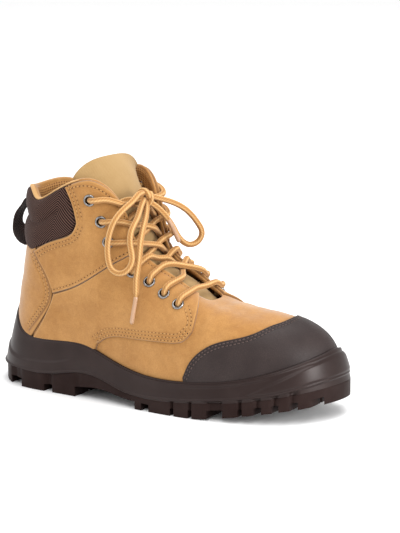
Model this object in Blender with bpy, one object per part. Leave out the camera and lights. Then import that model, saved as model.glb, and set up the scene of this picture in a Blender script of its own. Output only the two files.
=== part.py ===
"""Right lace-up safety boot, built as a maker would put it together: a lugged outsole, a moulded
midsole cup with heel counter and toe bumper, an insole, a hollow leather upper with its overlays,
a padded collar cuff, a tongue, a pull loop, metal eyelets and a tied lace.

Frame: +X to the toe, +Y to the wearer's left (the inner side of this right boot), +Z up, origin on
the floor under the middle of the sole's outline.

The tables are the pattern, in millimetres, drawn for a boot of the drawn size. Grading stretches
them to the driving sizes, and MM turns millimetres into metres when a mesh is made.
"""

import math
from collections import namedtuple

import bmesh
import bpy
import numpy as np
from mathutils import Vector

MM = 0.001

# Driving sizes of the boot: sole length, width across the ball and height of the collar's front.
LENGTH = 306.0
BALL_WIDTH = 112.0
COLLAR_HEIGHT = 180.0
# The size that the pattern's tables are drawn at.
DRAWN_SIZE = (306.0, 112.0, 180.0)
GRADE = np.array((LENGTH, BALL_WIDTH, COLLAR_HEIGHT)) / DRAWN_SIZE

# Thicknesses and clearances.
LEATHER = 2.2
COLLAR_PADDING = 4.5
OVERLAY = 1.5
CUFF_PUFF = 3.2
GAP = 0.4
OVERLAY_GAP = 1.08
INSOLE_THICKNESS = 4.0
LACE_DIAMETER = 4.8
EYELET_FLANGE_RADIUS = 4.7
EYELET_HOLE_RADIUS = 2.7
EYELET_BARREL_RADIUS = 3.1
EYELET_RISE = 1.1
PUNCH_RADIUS = 3.6
LIP_CLEARANCE = 1.4
TONGUE_CROWN = 10.0
LACE_LIFT = 2.0
UNDER_EDGE_GAP = 7.0
LACE_CLEARANCE = 1.8
KNOT_RADIUS = 4.6
STRAP_THICKNESS = 1.8

# Mesh density.
ROUND_STEPS = 54
UPPER_STEPS = 10
EYELET_SIDES = 8
LACE_SIDES = 6

LATERAL, MEDIAL = -1, 1

# The pattern's middle line lies this far to the lateral side of the middle of the boot's width.
SIDE_SHIFT = 2.2

# Colour, roughness and metallic value of each material.
Finish = namedtuple("Finish", "colour roughness metallic")
NUBUCK = Finish((0.56, 0.33, 0.12), 0.85, 0.0)
TEXTILE = Finish((0.58, 0.40, 0.19), 0.9, 0.0)
COATED_LEATHER = Finish((0.055, 0.04, 0.036), 0.55, 0.0)
CUFF_CLOTH = Finish((0.06, 0.04, 0.034), 0.8, 0.0)
RUBBER = Finish((0.035, 0.028, 0.026), 0.5, 0.0)
METAL = Finish((0.5, 0.5, 0.52), 0.25, 1.0)
LACE = Finish((0.66, 0.42, 0.16), 0.85, 0.0)

# One row for each section from the toe tip round to the back of the heel. The sole's outline has
# its own point on the lateral and on the medial side; the rim is mirrored. The upper's bottom edge
# lies inside the outline by the inset. From there a section swells outwards and rises, and it runs
# into the rim along its lead. lip_z and lip_out are the top of the sole's side wall and how far it
# stands off the upper.
Section = namedtuple(
    "Section",
    "name lateral_x lateral_y medial_x medial_y rim_x rim_y rim_z "
    "inset swell rise lead_x lead_y lead_z lip_z lip_out",
)
SECTIONS = tuple(
    Section(*row)
    for row in (
        ("toe tip", 153, 16, 153, 16, 47, 0, 86.5, 9, 1.0, 48.5, 52, 2, -6.5, 53, 5.5),
        ("toe front", 149, -2, 150.5, 31, 46.5, 6, 86.5, 9, 1.0, 47.5, 48, 11.5, -7.5, 51, 5.5),
        ("toe side", 132, -28, 137, 46.5, 43.5, 11.5, 87.5, 8.5, 1.5, 46, 36.5, 20.5, -8, 45, 5.0),
        ("little toe", 98, -46, 102, 57, 33, 14.5, 92.5, 7.5, 3, 38, 23, 26, -8.5, 35.5, 3.6),
        ("ball", 50, -53.5, 56, 56.5, 13, 15.5, 104, 7, 3, 36, 8, 26.5, -11, 28.5, 3.0),
        ("waist", 0, -51, -2, 45, -9, 18.5, 117, 7, 2.5, 38, 1, 23.5, -16, 28.6, 3.0),
        ("instep", -36, -46, -36, 39.5, -20, 22.5, 138.5, 7, 2, 44, -1, 19, -28.5, 37.3, 3.0),
        ("ankle front", -57, -43.5, -57, 38.5, -29, 28, 163.5, 7, 2, 50, -3, 14.5, -40.5, 43.6, 3.0),
        ("ankle", -78, -42, -78, 39, -49, 39, 180, 7, 2, 54, -6, 4, -44, 44.1, 3.0),
        ("heel side", -105, -40.5, -105, 40.5, -84, 42, 167, 7.5, 2, 50, -7, 0, -41, 42.8, 3.0),
        ("heel bend", -125.6, -36, -125.6, 36.2, -101.2, 37.8, 160, 8.7, 2, 46.5, -3, -0.8, -39, 46.5, 3.0),
        ("heel corner", -143.5, -23.6, -143.5, 23.7, -115.5, 24.8, 166, 10.3, 1.7, 44, 1.4, -1, -42, 60, 3),
        ("heel back", -153, 0, -153, 0, -128.5, 0, 163, 12, 1, 44, 2, 0, -43, 63.5, 3.0),
    )
)

# How much further the inner side of the vamp falls from the rim than the outer side.
MEDIAL_FALL = {"toe front": 3, "toe side": 10, "little toe": 20, "ball": 14, "waist": 6}

# Heights along the sole: the tray that the upper stands in, the joint of midsole and outsole, the
# root of the lugs, with the arch, and the tread, with the toe spring and the bevelled heel.
SoleHeight = namedtuple("SoleHeight", "x tray joint root tread")
SOLE_HEIGHTS = tuple(
    SoleHeight(*row)
    for row in (
        (-153, 28, 16.5, 9, 3.5),
        (-138, 28, 16.5, 7, 0.8),
        (-128, 28, 16.5, 6, 0),
        (-88, 28, 16.5, 6, 0),
        (-58, 28.5, 21, 9, 0),
        (-38, 26.5, 19.5, 10.5, 0),
        (-15, 20.5, 13.5, 7.5, 0),
        (10, 17, 10.8, 6, 0),
        (45, 17.5, 12.5, 6.2, 0),
        (70, 19.5, 15, 8.5, 2.2),
        (95, 22.5, 18, 12, 6.2),
        (123, 27.5, 23, 16.5, 10.8),
        (153, 33.5, 29, 21.5, 15.0),
    )
)

# Lugs from heel to toe, each from one x to another, further rows of points that round the sole's
# ends and its arch, and the shares of the width that carry lugs.
LUGS = (
    (-153, -134),
    (-120, -95.5),
    (-87, -64),
    (-1, 5.5),
    (13, 33.5),
    (37, 50),
    (53.5, 66),
    (80, 92),
    (95.5, 104),
    (110, 117),
    (122, 129),
    (134, 141),
    (147, 153),
)
PLAIN_ROWS = (-151.5, -148, -142, -54, -41, -28, -14, 151.5)
LUG_COLUMNS = (0.0, 0.25, 0.31, 0.46, 0.54, 0.69, 0.75, 1.0)
LUG_CELLS = (0, 2, 4, 6)

# The side wall of the midsole from its joint to its lip: share of the height, how far a bead or
# step stands out, and how far the heel's own step does.
WallRow = namedtuple("WallRow", "share out heel_out")
WALL_ROWS = tuple(
    WallRow(*row)
    for row in (
        (0.00, 0.0, 0.0),
        (0.05, 1.0, 0.6),
        (0.13, 1.0, 0.6),
        (0.18, 0.0, 0.4),
        (0.46, 0.5, 1.6),
        (0.54, 0.5, 0.6),
        (0.88, 0.3, 0.3),
        (1.00, 0.0, 0.0),
    )
)

# Edges of the overlays in side view, as x and z, drawn from the photo and the same on both sides.
CAP_EDGE = ((42, 31), (47.5, 43), (56.5, 53.5), (69, 61), (94, 68.5), (105, 74))
CAP_CREST_X = 111.0
CUFF_FRONT = ((-71, 172), (-65, 160), (-61.5, 146))
CUFF_LOWER = ((-61.5, 144), (-65.5, 136.5), (-78.5, 129.5), (-96, 122), (-106, 117.5))
CUFF_BACK_Z = 116.0
BACKSTAY_EDGE = ((-105, 115.5), (-95, 100.5), (-89.5, 83.5), (-101.5, 62), (-114.5, 47.5))
SEAM_BOW = 0.0042
PANEL_CUFF_SIDE = (
    ((-69.2, 173), (-63.2, 160), (-59.8, 146)),
    ((-59.8, 143), (-64, 135), (-78, 128), (-95, 120.5), (-103, 115)),
)
PANEL_THROAT_SIDE = (
    ((-50, 177.6), (-31, 163), (-21, 138), (-18.5, 123)),
    ((-20, 121), (-34, 112), (-65, 92.8), (-87.5, 84.5)),
)
QUARTER_TOP = (
    ((-86.5, 82.5), (-65, 90.8), (-34, 110), (-17, 121)),
    ((-15, 119.5), (-9, 115.5), (13, 102.5), (33, 91), (44, 86)),
)
QUARTER_LOWER = (
    ((-111, 46.2), (-85, 46.4), (-64, 46.4), (-45, 45)),
    ((-43.5, 45.8), (-34, 52), (-10, 55.6), (8, 56.2), (26, 56.8), (42, 60), (48, 67)),
)
RIM_SHARE = 0.985

# Eyelets from the top of the lateral row to its bottom, as x and z in side view.
EYELETS = ((-49, 163.7), (-40, 146.6), (-34, 130.3), (-14.5, 107), (1, 99.8), (16, 92.3), (30.5, 85.8))

# The tongue's middle line from the throat to its top, with half its width, how far its edges lie
# behind its middle, and its thickness.
TongueRow = namedtuple("TongueRow", "x z half_width fall thickness")
TONGUE = tuple(
    TongueRow(*row)
    for row in (
        (60, 72, 18, 3.0, 2.5),
        (42, 84.5, 22, 6.0, 3.5),
        (15, 99.5, 24.5, 8.0, 4.5),
        (-8, 112, 25, 8.5, 5.5),
        (-20, 133, 26.5, 9.0, 6.5),
        (-31, 159, 30.5, 10.0, 8.0),
        (-44, 182, 33.5, 10.0, 9.0),
        (-52, 195, 37, 8.0, 8.5),
    )
)

# The pull loop from its top to its foot: height at the back, half its width as a share of the way
# round, how much higher its side edges lie, and how far it stands off the upper.
LoopRow = namedtuple("LoopRow", "z half_width side_rise stand_off")
PULL_LOOP = tuple(
    LoopRow(*row)
    for row in (
        (152, 0.0095, 0.0, 6.0),
        (147, 0.0085, 0.0, 9.0),
        (140, 0.0078, 0.0, 13.5),
        (131, 0.0078, 0.3, 17.0),
        (123, 0.0105, 0.8, 16.0),
        (117, 0.019, 1.5, 10.5),
        (113.5, 0.026, 2.5, 5.7),
    )
)

# Middle lines of the lace's soft lengths, from the knot outwards.
KNOT = (-20, 2, 165)
LEFT_LOOP = (
    (-19, -14, 162),
    (-17, -28, 158),
    (-21.5, -45.5, 151.5),
    (-28, -49.5, 141.5),
    (-29.5, -50.5, 130.5),
    (-27.5, -50.5, 120.5),
    (-23, -50, 113.5),
    (-15, -49.5, 109.5),
    (-8.5, -47.5, 111),
    (-7, -44, 120),
    (-9.5, -42, 130),
    (-11, -39.5, 140),
    (-12.5, -28, 149.5),
    (-16, -13, 156.5),
)
LEFT_END = (
    (-13, -7, 153.5),
    (-6, -24, 144.5),
    (-3, -36, 133),
    (-2, -40.5, 121),
    (-2.3, -43.3, 112),
    (-2.3, -45.2, 104),
    (-2.1, -45.8, 96.5),
    (-2, -46.5, 90.5),
    (-3, -48, 80.5),
    (-4.5, -49, 69),
)
RIGHT_LOOP = (
    (-16.5, 14, 161),
    (-9, 21, 156),
    (-2, 29, 148.5),
    (3.5, 38.5, 137),
    (4.5, 42, 126),
    (1.5, 40, 121.5),
    (-2.5, 32, 124),
    (-8, 18, 139),
    (-12.5, 9, 151),
)
RIGHT_END = (
    (-10, 2, 154.5),
    (-4.5, 7, 146),
    (-1, 11.5, 134),
    (1.5, 16, 124),
)


def smooth_curve(knots, values, period=None):
    """A curve through values at rising knots with smooth slope and bend: a natural cubic spline, or
    a closed one where a period is given."""
    knots = np.asarray(knots, float)
    values = np.asarray(values, float)
    if period:
        knots = np.append(knots, knots[0] + period)
        values = np.concatenate([values, values[:1]])
    steps = np.diff(knots)
    slopes = np.diff(values, axis=0) / steps.reshape(-1, *[1] * (values.ndim - 1))
    count = len(knots)
    matrix = np.eye(count)
    right = np.zeros_like(values)
    for i in range(1, count - 1):
        matrix[i, i - 1 : i + 2] = steps[i - 1], 2 * (steps[i - 1] + steps[i]), steps[i]
        right[i] = 6 * (slopes[i] - slopes[i - 1])
    if period:
        matrix[0, [0, 1, -2]] = 2 * (steps[0] + steps[-1]), steps[0], steps[-1]
        right[0] = 6 * (slopes[0] - slopes[-1])
        matrix[-1, 0] = -1
    bends = np.linalg.solve(matrix, right)

    def at(place):
        place = np.asarray(place, float)
        if period:
            place = (place - knots[0]) % period + knots[0]
        place = np.clip(place, knots[0], knots[-1])
        i = np.clip(np.searchsorted(knots, place, side="right") - 1, 0, count - 2)
        shape = place.shape + (1,) * (values.ndim - 1)
        step = steps[i].reshape(shape)
        before = ((place - knots[i]).reshape(shape)) / step
        after = 1 - before
        straight = after * values[i] + before * values[i + 1]
        bend = (after**3 - after) * bends[i] + (before**3 - before) * bends[i + 1]
        return straight + bend * step**2 / 6

    return at


def along(points):
    """Each point's share of the way along the points."""
    points = np.asarray(points, float)
    lengths = np.linalg.norm(np.diff(points, axis=0), axis=1)
    return np.concatenate([[0], np.cumsum(lengths)]) / lengths.sum()


def ramp(low, high, value):
    """0 at low, 1 at high, and smooth between them."""
    share = np.clip((np.asarray(value, float) - low) / (high - low), 0, 1)
    return share * share * (3 - 2 * share)


class Pattern:
    """The boot's form: the sole's outline and the outer face of the upper, both followed by a share
    of the way round, from the toe tip (0) along the lateral side to the heel (0.5) and back along
    the medial side, and the upper also by a share of the way up, from its bottom edge to its rim."""

    def __init__(self):
        lateral = [(s.lateral_x, s.lateral_y) for s in SECTIONS]
        medial = [(s.medial_x, s.medial_y) for s in SECTIONS]
        shares = np.concatenate([along(lateral) / 2, 1 - along(medial)[-2:0:-1] / 2])
        rows = [(s, LATERAL) for s in SECTIONS] + [(s, MEDIAL) for s in SECTIONS[-2:0:-1]]
        plan = np.array([self.plan_of(s, side) for s, side in rows]) * GRADE[:2]
        rims = np.array([(s.rim_x, side * s.rim_y, s.rim_z) for s, side in rows]) * GRADE
        falls = [MEDIAL_FALL.get(s.name, 0) if side == MEDIAL else 0 for s, side in rows]
        leads = [
            (s.lead_x, side * s.lead_y, s.lead_z - fall) for (s, side), fall in zip(rows, falls)
        ]
        leads = np.array(leads) * GRADE
        walls = np.array([(s.inset, s.swell, s.rise * GRADE[2]) for s, _ in rows])
        lips = np.array([(s.lip_z * GRADE[2], s.lip_out) for s, _ in rows])
        self.plan, self.rim, self.lead, self.wall, self.lip = (
            smooth_curve(shares, table, period=1.0) for table in (plan, rims, leads, walls, lips)
        )
        heights = np.array(SOLE_HEIGHTS) * (GRADE[0], *[GRADE[2]] * 4)
        self.heights = smooth_curve(heights[:, 0], heights[:, 1:])
        self.fine = {side: self.fine_grid(side) for side in (LATERAL, MEDIAL)}

    @staticmethod
    def plan_of(section, side):
        if side == LATERAL:
            return section.lateral_x, section.lateral_y
        return section.medial_x, section.medial_y

    def tray(self, x):
        return self.heights(x)[..., 0]

    def joint(self, x):
        return self.heights(x)[..., 1]

    def root(self, x):
        return self.heights(x)[..., 2]

    def tread(self, x):
        return np.maximum(self.heights(x)[..., 3], 0)

    def outwards(self, round_share):
        """The level direction out of the sole's outline."""
        step = 1e-4
        ahead = self.plan(np.asarray(round_share) + step) - self.plan(np.asarray(round_share) - step)
        out = np.stack([ahead[..., 1], -ahead[..., 0]], axis=-1) * -1
        return out / np.linalg.norm(out, axis=-1, keepdims=True)

    def inset(self, round_share):
        return self.wall(round_share)[..., 0]

    def outline(self, round_share, inset=0.0):
        """The sole's outline, moved in by the inset, as x and y."""
        return self.plan(round_share) - self.outwards(round_share) * np.asarray(inset)[..., None]

    def upper(self, round_share, up_share):
        """The outer face of the upper."""
        round_share, up_share = np.broadcast_arrays(np.asarray(round_share, float), up_share)
        foot = self.outline(round_share, self.inset(round_share))
        bottom = np.concatenate([foot, (self.tray(foot[..., 0]) + GAP)[..., None]], axis=-1)
        _, swell, rise = np.moveaxis(self.wall(round_share), -1, 0)
        out = self.outwards(round_share)
        low = bottom + np.concatenate([out * swell[..., None], rise[..., None]], axis=-1)
        rim = self.rim(round_share)
        high = rim + self.lead(round_share)
        v = up_share[..., None]
        w = 1 - v
        return w**3 * bottom + 3 * w * w * v * low + 3 * w * v * v * high + v**3 * rim

    def normal(self, round_share, up_share):
        """The direction out of the upper's outer face."""
        step = 1e-4
        low = np.clip(np.asarray(up_share, float) - step, 0, 1)
        high = np.clip(np.asarray(up_share, float) + step, 0, 1)
        up = self.upper(round_share, high) - self.upper(round_share, low)
        ahead = self.upper(np.asarray(round_share) + step, up_share)
        ahead = ahead - self.upper(np.asarray(round_share) - step, up_share)
        out = np.cross(up, ahead)
        return out / np.linalg.norm(out, axis=-1, keepdims=True)

    def off(self, round_share, up_share, distance):
        """A point at a distance out of the upper's outer face."""
        distance = np.asarray(distance, float)[..., None]
        return self.upper(round_share, up_share) + distance * self.normal(round_share, up_share)

    def fine_grid(self, side):
        half = np.linspace(0.002, 0.498, 160)
        around = half if side == LATERAL else 1 - half
        round_share, up_share = np.meshgrid(around, np.linspace(0, 1, 80), indexing="ij")
        return round_share, up_share, self.upper(round_share, up_share)

    def shares_at(self, x, z, side):
        """The shares round and up of the point of the upper that side view shows at x and z."""
        round_share, up_share, points = self.fine[side]
        target = np.array((x * GRADE[0], z * GRADE[2]))
        best = np.argmin(((points[..., [0, 2]] - target) ** 2).sum(-1))
        place = np.array([round_share.flat[best], up_share.flat[best]])
        step = 1e-4
        for _ in range(12):
            here = self.upper(*place)[[0, 2]]
            matrix = np.stack(
                [
                    (self.upper(place[0] + step, place[1])[[0, 2]] - here) / step,
                    (self.upper(place[0], place[1] - step)[[0, 2]] - here) / -step,
                ],
                axis=1,
            )
            move = np.linalg.lstsq(matrix, target - here, rcond=1e-3)[0]
            place = place + np.clip(move, -0.02, 0.02)
            place[1] = np.clip(place[1], 0.0, RIM_SHARE)
        return place

    def up_to(self, round_share, height):
        """The share up at which the upper's face reaches a height."""
        low, high = np.zeros_like(round_share), np.ones_like(round_share)
        for _ in range(30):
            middle = (low + high) / 2
            below = self.upper(round_share, middle)[..., 2] < height
            low, high = np.where(below, middle, low), np.where(below, high, middle)
        return (low + high) / 2


def material(name, finish):
    """A material of its own for one piece."""
    made = bpy.data.materials.new(name)
    made.use_nodes = True
    shader = made.node_tree.nodes["Principled BSDF"]
    shader.inputs["Base Color"].default_value = (*finish.colour, 1)
    shader.inputs["Roughness"].default_value = finish.roughness
    shader.inputs["Metallic"].default_value = finish.metallic
    return made


def in_metres(points):
    """Pattern points in millimetres as places in the boot's own frame."""
    return (np.asarray(points, float) - (0, SIDE_SHIFT, 0)) * MM


def add_mesh(name, points, faces, finish, smooth=True):
    """A mesh object of points in millimetres, with its faces turned outwards."""
    mesh = bpy.data.meshes.new(name)
    mesh.from_pydata([tuple(p) for p in in_metres(points)], [], faces)
    made = bmesh.new()
    made.from_mesh(mesh)
    bmesh.ops.recalc_face_normals(made, faces=made.faces)
    made.to_mesh(mesh)
    made.free()
    mesh.materials.append(material(name, finish))
    if smooth:
        mesh.shade_smooth()
        mesh.set_sharp_from_angle(angle=math.radians(40))
    obj = bpy.data.objects.new(name, mesh)
    bpy.context.scene.collection.objects.link(obj)
    return obj


def ladder(count, first):
    """Faces that close a ring from its lateral side across to its medial side."""
    half = count // 2
    faces = [(first, first + 1, first + count - 1)]
    for k in range(1, half - 1):
        faces.append((first + k, first + k + 1, first + count - k - 1, first + count - k))
    faces.append((first + half - 1, first + half, first + half + 1))
    return faces


def ring_solid(name, rings, finish, hollow=False):
    """A solid through rings of equal count. A hollow one joins its last ring to its first; any other
    is closed across its two end rings."""
    count = len(rings[0])
    faces = []
    pairs = list(zip(range(len(rings) - 1), range(1, len(rings))))
    if hollow:
        pairs.append((len(rings) - 1, 0))
    for low, high in pairs:
        for k in range(count):
            ahead = (k + 1) % count
            faces.append((low * count + k, low * count + ahead, high * count + ahead, high * count + k))
    if not hollow:
        faces += ladder(count, 0) + ladder(count, (len(rings) - 1) * count)
    return add_mesh(name, np.concatenate(rings), faces, finish)


def sheet_solid(name, outer, inner, finish):
    """A solid between two grids of points of the same size."""
    rows, columns = outer.shape[:2]
    back = rows * columns
    faces = []

    def at(i, j):
        return i * columns + j

    for i in range(rows - 1):
        for j in range(columns - 1):
            cell = (at(i, j), at(i + 1, j), at(i + 1, j + 1), at(i, j + 1))
            faces += [cell, tuple(back + k for k in reversed(cell))]
    edge = [at(i, 0) for i in range(rows)] + [at(rows - 1, j) for j in range(1, columns)]
    edge += [at(i, columns - 1) for i in range(rows - 2, -1, -1)]
    edge += [at(0, j) for j in range(columns - 2, 0, -1)]
    for k, here in enumerate(edge):
        ahead = edge[(k + 1) % len(edge)]
        faces.append((here, ahead, back + ahead, back + here))
    points = np.concatenate([outer.reshape(-1, 3), inner.reshape(-1, 3)])
    return add_mesh(name, points, faces, finish)


def resampled(points, count):
    """The points again, evenly spaced along a smooth line through them."""
    points = np.asarray(points, float)
    shares = along(points)
    return smooth_curve(shares, points)(np.linspace(0, 1, count))


def strip(edge_a, edge_b, rows, bow_first=0.0, bow_last=0.0, crowding=1.0):
    """Shares round and up between two edges of the same count, as a grid. Its first and last lines
    can be bowed round the boot, and its rows can crowd towards the second edge."""
    share = np.linspace(0, 1, rows)[:, None] ** crowding
    sideways = np.linspace(0, 1, len(edge_a))[None]
    around = (1 - share) * edge_a[None, :, 0] + share * edge_b[None, :, 0]
    up = (1 - share) * edge_a[None, :, 1] + share * edge_b[None, :, 1]
    bow = 4 * share * (1 - share)
    return around + bow * (bow_first * (1 - sideways) ** 6 + bow_last * sideways**6), up


def overlay(name, pattern, shares, finish, thickness=OVERLAY):
    """A piece that lies on the upper, cut from two larger forms of the upper's own face."""
    near = pattern.off(*shares, np.full(shares[0].shape, OVERLAY_GAP))
    far = pattern.off(*shares, OVERLAY_GAP + np.broadcast_to(thickness, shares[0].shape))
    return sheet_solid(name, far, near, finish)


def side_edge(pattern, points, side, count):
    """The shares round and up along an edge that is drawn in side view."""
    return np.array([pattern.shares_at(x, z, side) for x, z in resampled(points, count)])


def make_upper(pattern, finish):
    """The hollow upper: leather all round, thicker where the collar is padded, open at the throat,
    at the collar and underneath."""
    around = np.arange(ROUND_STEPS) / ROUND_STEPS
    levels = np.linspace(0, 1, UPPER_STEPS) ** 0.9
    outer, inner = [], []
    for level in levels:
        face = pattern.upper(around, level)
        padded = ramp(-55, -82, face[:, 0]) * ramp(105, 140, face[:, 2]) * (1 - 0.6 * ramp(0.93, 1, level))
        outer.append(face)
        inner.append(pattern.off(around, level, -(LEATHER + COLLAR_PADDING * padded)))
    return ring_solid("upper", outer + inner[::-1], finish, hollow=True)


def lip_shares(pattern, around):
    return pattern.up_to(around, pattern.lip(around)[:, 0])


def make_midsole(pattern, finish):
    """The moulded cup: side wall with bead and steps, heel counter, toe bumper and the tray."""
    around = np.arange(ROUND_STEPS) / ROUND_STEPS
    lip_share = lip_shares(pattern, around)
    lip_out = pattern.lip(around)[:, 1]
    foot = pattern.outline(around, np.full(ROUND_STEPS, 0.8))
    foot = np.concatenate([foot, pattern.joint(foot[:, 0])[:, None] + GAP / 2], axis=1)
    top = pattern.upper(around, lip_share) + np.concatenate(
        [pattern.outwards(around) * lip_out[:, None], np.full((ROUND_STEPS, 1), -1.0)], axis=1
    )
    out = np.concatenate([pattern.outwards(around), np.zeros((ROUND_STEPS, 1))], axis=1)
    heel = ramp(-70, -110, foot[:, 0])[:, None]
    under = foot - out * 5.0
    under[:, 2] = pattern.joint(under[:, 0]) + GAP / 2
    rings = [under]
    for row in WALL_ROWS:
        bulge = row.out + (row.heel_out - row.out) * heel
        rings.append(foot + (top - foot) * row.share + out * bulge)
    rings.append(pattern.off(around, lip_share, lip_out * 0.55) + (0, 0, 0.4))
    rings.append(pattern.off(around, lip_share, np.full(ROUND_STEPS, GAP)))
    for share in (0.5, 0.0):
        rings.append(pattern.off(around, lip_share * share, np.full(ROUND_STEPS, GAP)))
    floor = pattern.outline(around, pattern.inset(around) - GAP)
    rings[-1] = np.concatenate([floor, pattern.tray(floor[:, 0])[:, None]], axis=1)
    return ring_solid("midsole", rings, finish)


def side_shares(pattern, x, side):
    """The share round at which the sole's outline passes x, on one side."""
    half = np.linspace(0, 0.5, 2001)
    around = half if side == LATERAL else 1 - half
    return np.interp(-x, -pattern.plan(around)[:, 0], around)


def make_outsole(pattern, finish):
    """The lugged outsole: a plate under the midsole with lugs drawn down from it, row by row."""
    edges = sorted({x for lug in LUGS for x in lug if abs(x) < DRAWN_SIZE[0] / 2} | set(PLAIN_ROWS))
    rows = np.array(edges, float) * GRADE[0]
    lateral = np.array([side_shares(pattern, x, LATERAL) for x in rows])
    medial = np.array([side_shares(pattern, x, MEDIAL) for x in rows])
    around = np.concatenate([[0.0], lateral[::-1], [0.5], medial])
    count = len(around)

    def ring(inset, height):
        flat = pattern.outline(around, np.full(count, inset))
        return np.concatenate([flat, height(flat[:, 0])[:, None]], axis=1)

    rings = [
        ring(6.0, lambda x: pattern.joint(x) - GAP / 2),
        ring(0.4, lambda x: pattern.joint(x) - GAP / 2),
        ring(0.0, lambda x: pattern.joint(x) - 1.6),
        ring(0.0, lambda x: (pattern.joint(x) + pattern.root(x)) / 2),
    ]
    points = [p for r in rings for p in r]
    faces = []
    for level in range(len(rings) - 1):
        low, high = level * count, (level + 1) * count
        for k in range(count):
            ahead = (k + 1) % count
            faces.append((low + k, low + ahead, high + ahead, high + k))
    faces += ladder(count, 0)

    # The bottom plate, with its own points inside and the wall's last ring as its edge.
    plate = ring(0.0, pattern.root)
    first = len(points)
    points += list(plate)
    last = len(rings) - 1
    for k in range(count):
        ahead = (k + 1) % count
        faces.append((last * count + k, last * count + ahead, first + ahead, first + k))
    grid = np.zeros((len(rows), len(LUG_COLUMNS)), int)
    for i in range(len(rows)):
        from_edge, to_edge = first + len(rows) - i, first + len(rows) + 2 + i
        grid[i, 0], grid[i, -1] = from_edge, to_edge
        for j, share in enumerate(LUG_COLUMNS[1:-1], start=1):
            grid[i, j] = len(points)
            points.append(points[from_edge] * (1 - share) + points[to_edge] * share)
    lug_faces = []
    spans = [tuple(np.array(lug) * GRADE[0]) for lug in LUGS]

    def is_lug(low, high):
        return any(a - 0.1 <= low and high <= b + 0.1 for a, b in spans)

    for i in range(len(rows) - 1):
        for j in range(len(LUG_COLUMNS) - 1):
            if j in LUG_CELLS and is_lug(rows[i], rows[i + 1]):
                lug_faces.append(len(faces))
            faces.append((grid[i, j], grid[i, j + 1], grid[i + 1, j + 1], grid[i + 1, j]))
    for tip, row in ((first, grid[-1]), (first + len(rows) + 1, grid[0])):
        for j in range(len(LUG_COLUMNS) - 1):
            lug_faces.append(len(faces))
            faces.append((tip, row[j], row[j + 1]))

    obj = add_mesh("outsole", points, faces, finish)
    made = bmesh.new()
    made.from_mesh(obj.data)
    made.faces.ensure_lookup_table()
    flat = [made.faces[k] for k in lug_faces]
    drawn = bmesh.ops.extrude_face_region(made, geom=flat)
    bmesh.ops.delete(made, geom=flat, context="FACES_ONLY")
    for corner in drawn["geom"]:
        if isinstance(corner, bmesh.types.BMVert):
            corner.co.z = float(pattern.tread(corner.co.x / MM)) * MM
    bmesh.ops.recalc_face_normals(made, faces=made.faces)
    made.to_mesh(obj.data)
    made.free()
    obj.data.set_sharp_from_angle(angle=math.radians(30))
    return obj


def make_insole(pattern, finish):
    """A pad on the tray, inside the upper's wall."""
    around = np.arange(ROUND_STEPS) / ROUND_STEPS
    rings = []
    for inset, rise in ((0.6, 0.0), (0.4, INSOLE_THICKNESS - 1), (1.6, INSOLE_THICKNESS)):
        flat = pattern.outline(around, pattern.inset(around) + LEATHER + inset)
        height = pattern.tray(flat[:, 0]) + GAP + rise
        rings.append(np.concatenate([flat, height[:, None]], axis=1))
    return ring_solid("insole", rings, finish)


def make_toe_cap(pattern, finish):
    """The scuff cap: from above the sole's lip to its edge across the vamp, round the toe."""
    lateral = side_edge(pattern, CAP_EDGE, LATERAL, 9)
    medial = side_edge(pattern, CAP_EDGE, MEDIAL, 9) - (1, 0)
    levels = np.linspace(0.3, 1, 400)
    crest = np.interp(-CAP_CREST_X * GRADE[0], -pattern.upper(0.0, levels)[:, 0], levels)
    edge = np.concatenate([medial, [(0.0, crest)], lateral[::-1]])
    around = np.linspace(edge[0, 0], edge[-1, 0], 35)
    top = smooth_curve(edge[:, 0], edge[:, 1])(around)
    bottom = pattern.up_to(around, pattern.lip(around)[:, 0] + LIP_CLEARANCE)
    top = np.maximum(top, bottom + 0.012)
    shares = strip(np.stack([around, bottom], axis=1), np.stack([around, top], axis=1), 6)
    return overlay("toe_cap", pattern, shares, finish)


def cuff_edges(pattern, count):
    """The cuff's lower edge and its rim, from its lateral front round the back to its medial front."""
    lower = [side_edge(pattern, CUFF_LOWER, side, 9) for side in (LATERAL, MEDIAL)]
    levels = np.linspace(0.2, 1, 400)
    back = np.interp(CUFF_BACK_Z * GRADE[2], pattern.upper(0.5, levels)[:, 2], levels)
    low = resampled(np.concatenate([lower[0], [(0.5, back)], lower[1][::-1]]), count)
    front = [pattern.shares_at(*CUFF_FRONT[0], side)[0] for side in (LATERAL, MEDIAL)]
    rim = np.stack([np.linspace(front[0], front[1], count), np.full(count, 0.995)], axis=1)
    return low, rim


def make_cuff(pattern, finish):
    """The padded collar outside the upper: two puffed channels between a thin edge and the rim."""
    columns, rows = 27, 9
    low, rim = cuff_edges(pattern, columns)
    shares = strip(low, rim, rows)
    across = np.linspace(0, 1, rows)[:, None]
    sideways = np.linspace(0, 1, columns)[None]
    ends = np.minimum(1, 9 * np.minimum(sideways, 1 - sideways))
    puff = np.abs(np.sin(2 * math.pi * across)) ** 0.6 * ends
    return overlay("collar_cuff", pattern, shares, finish, 0.9 + CUFF_PUFF * puff)


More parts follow.
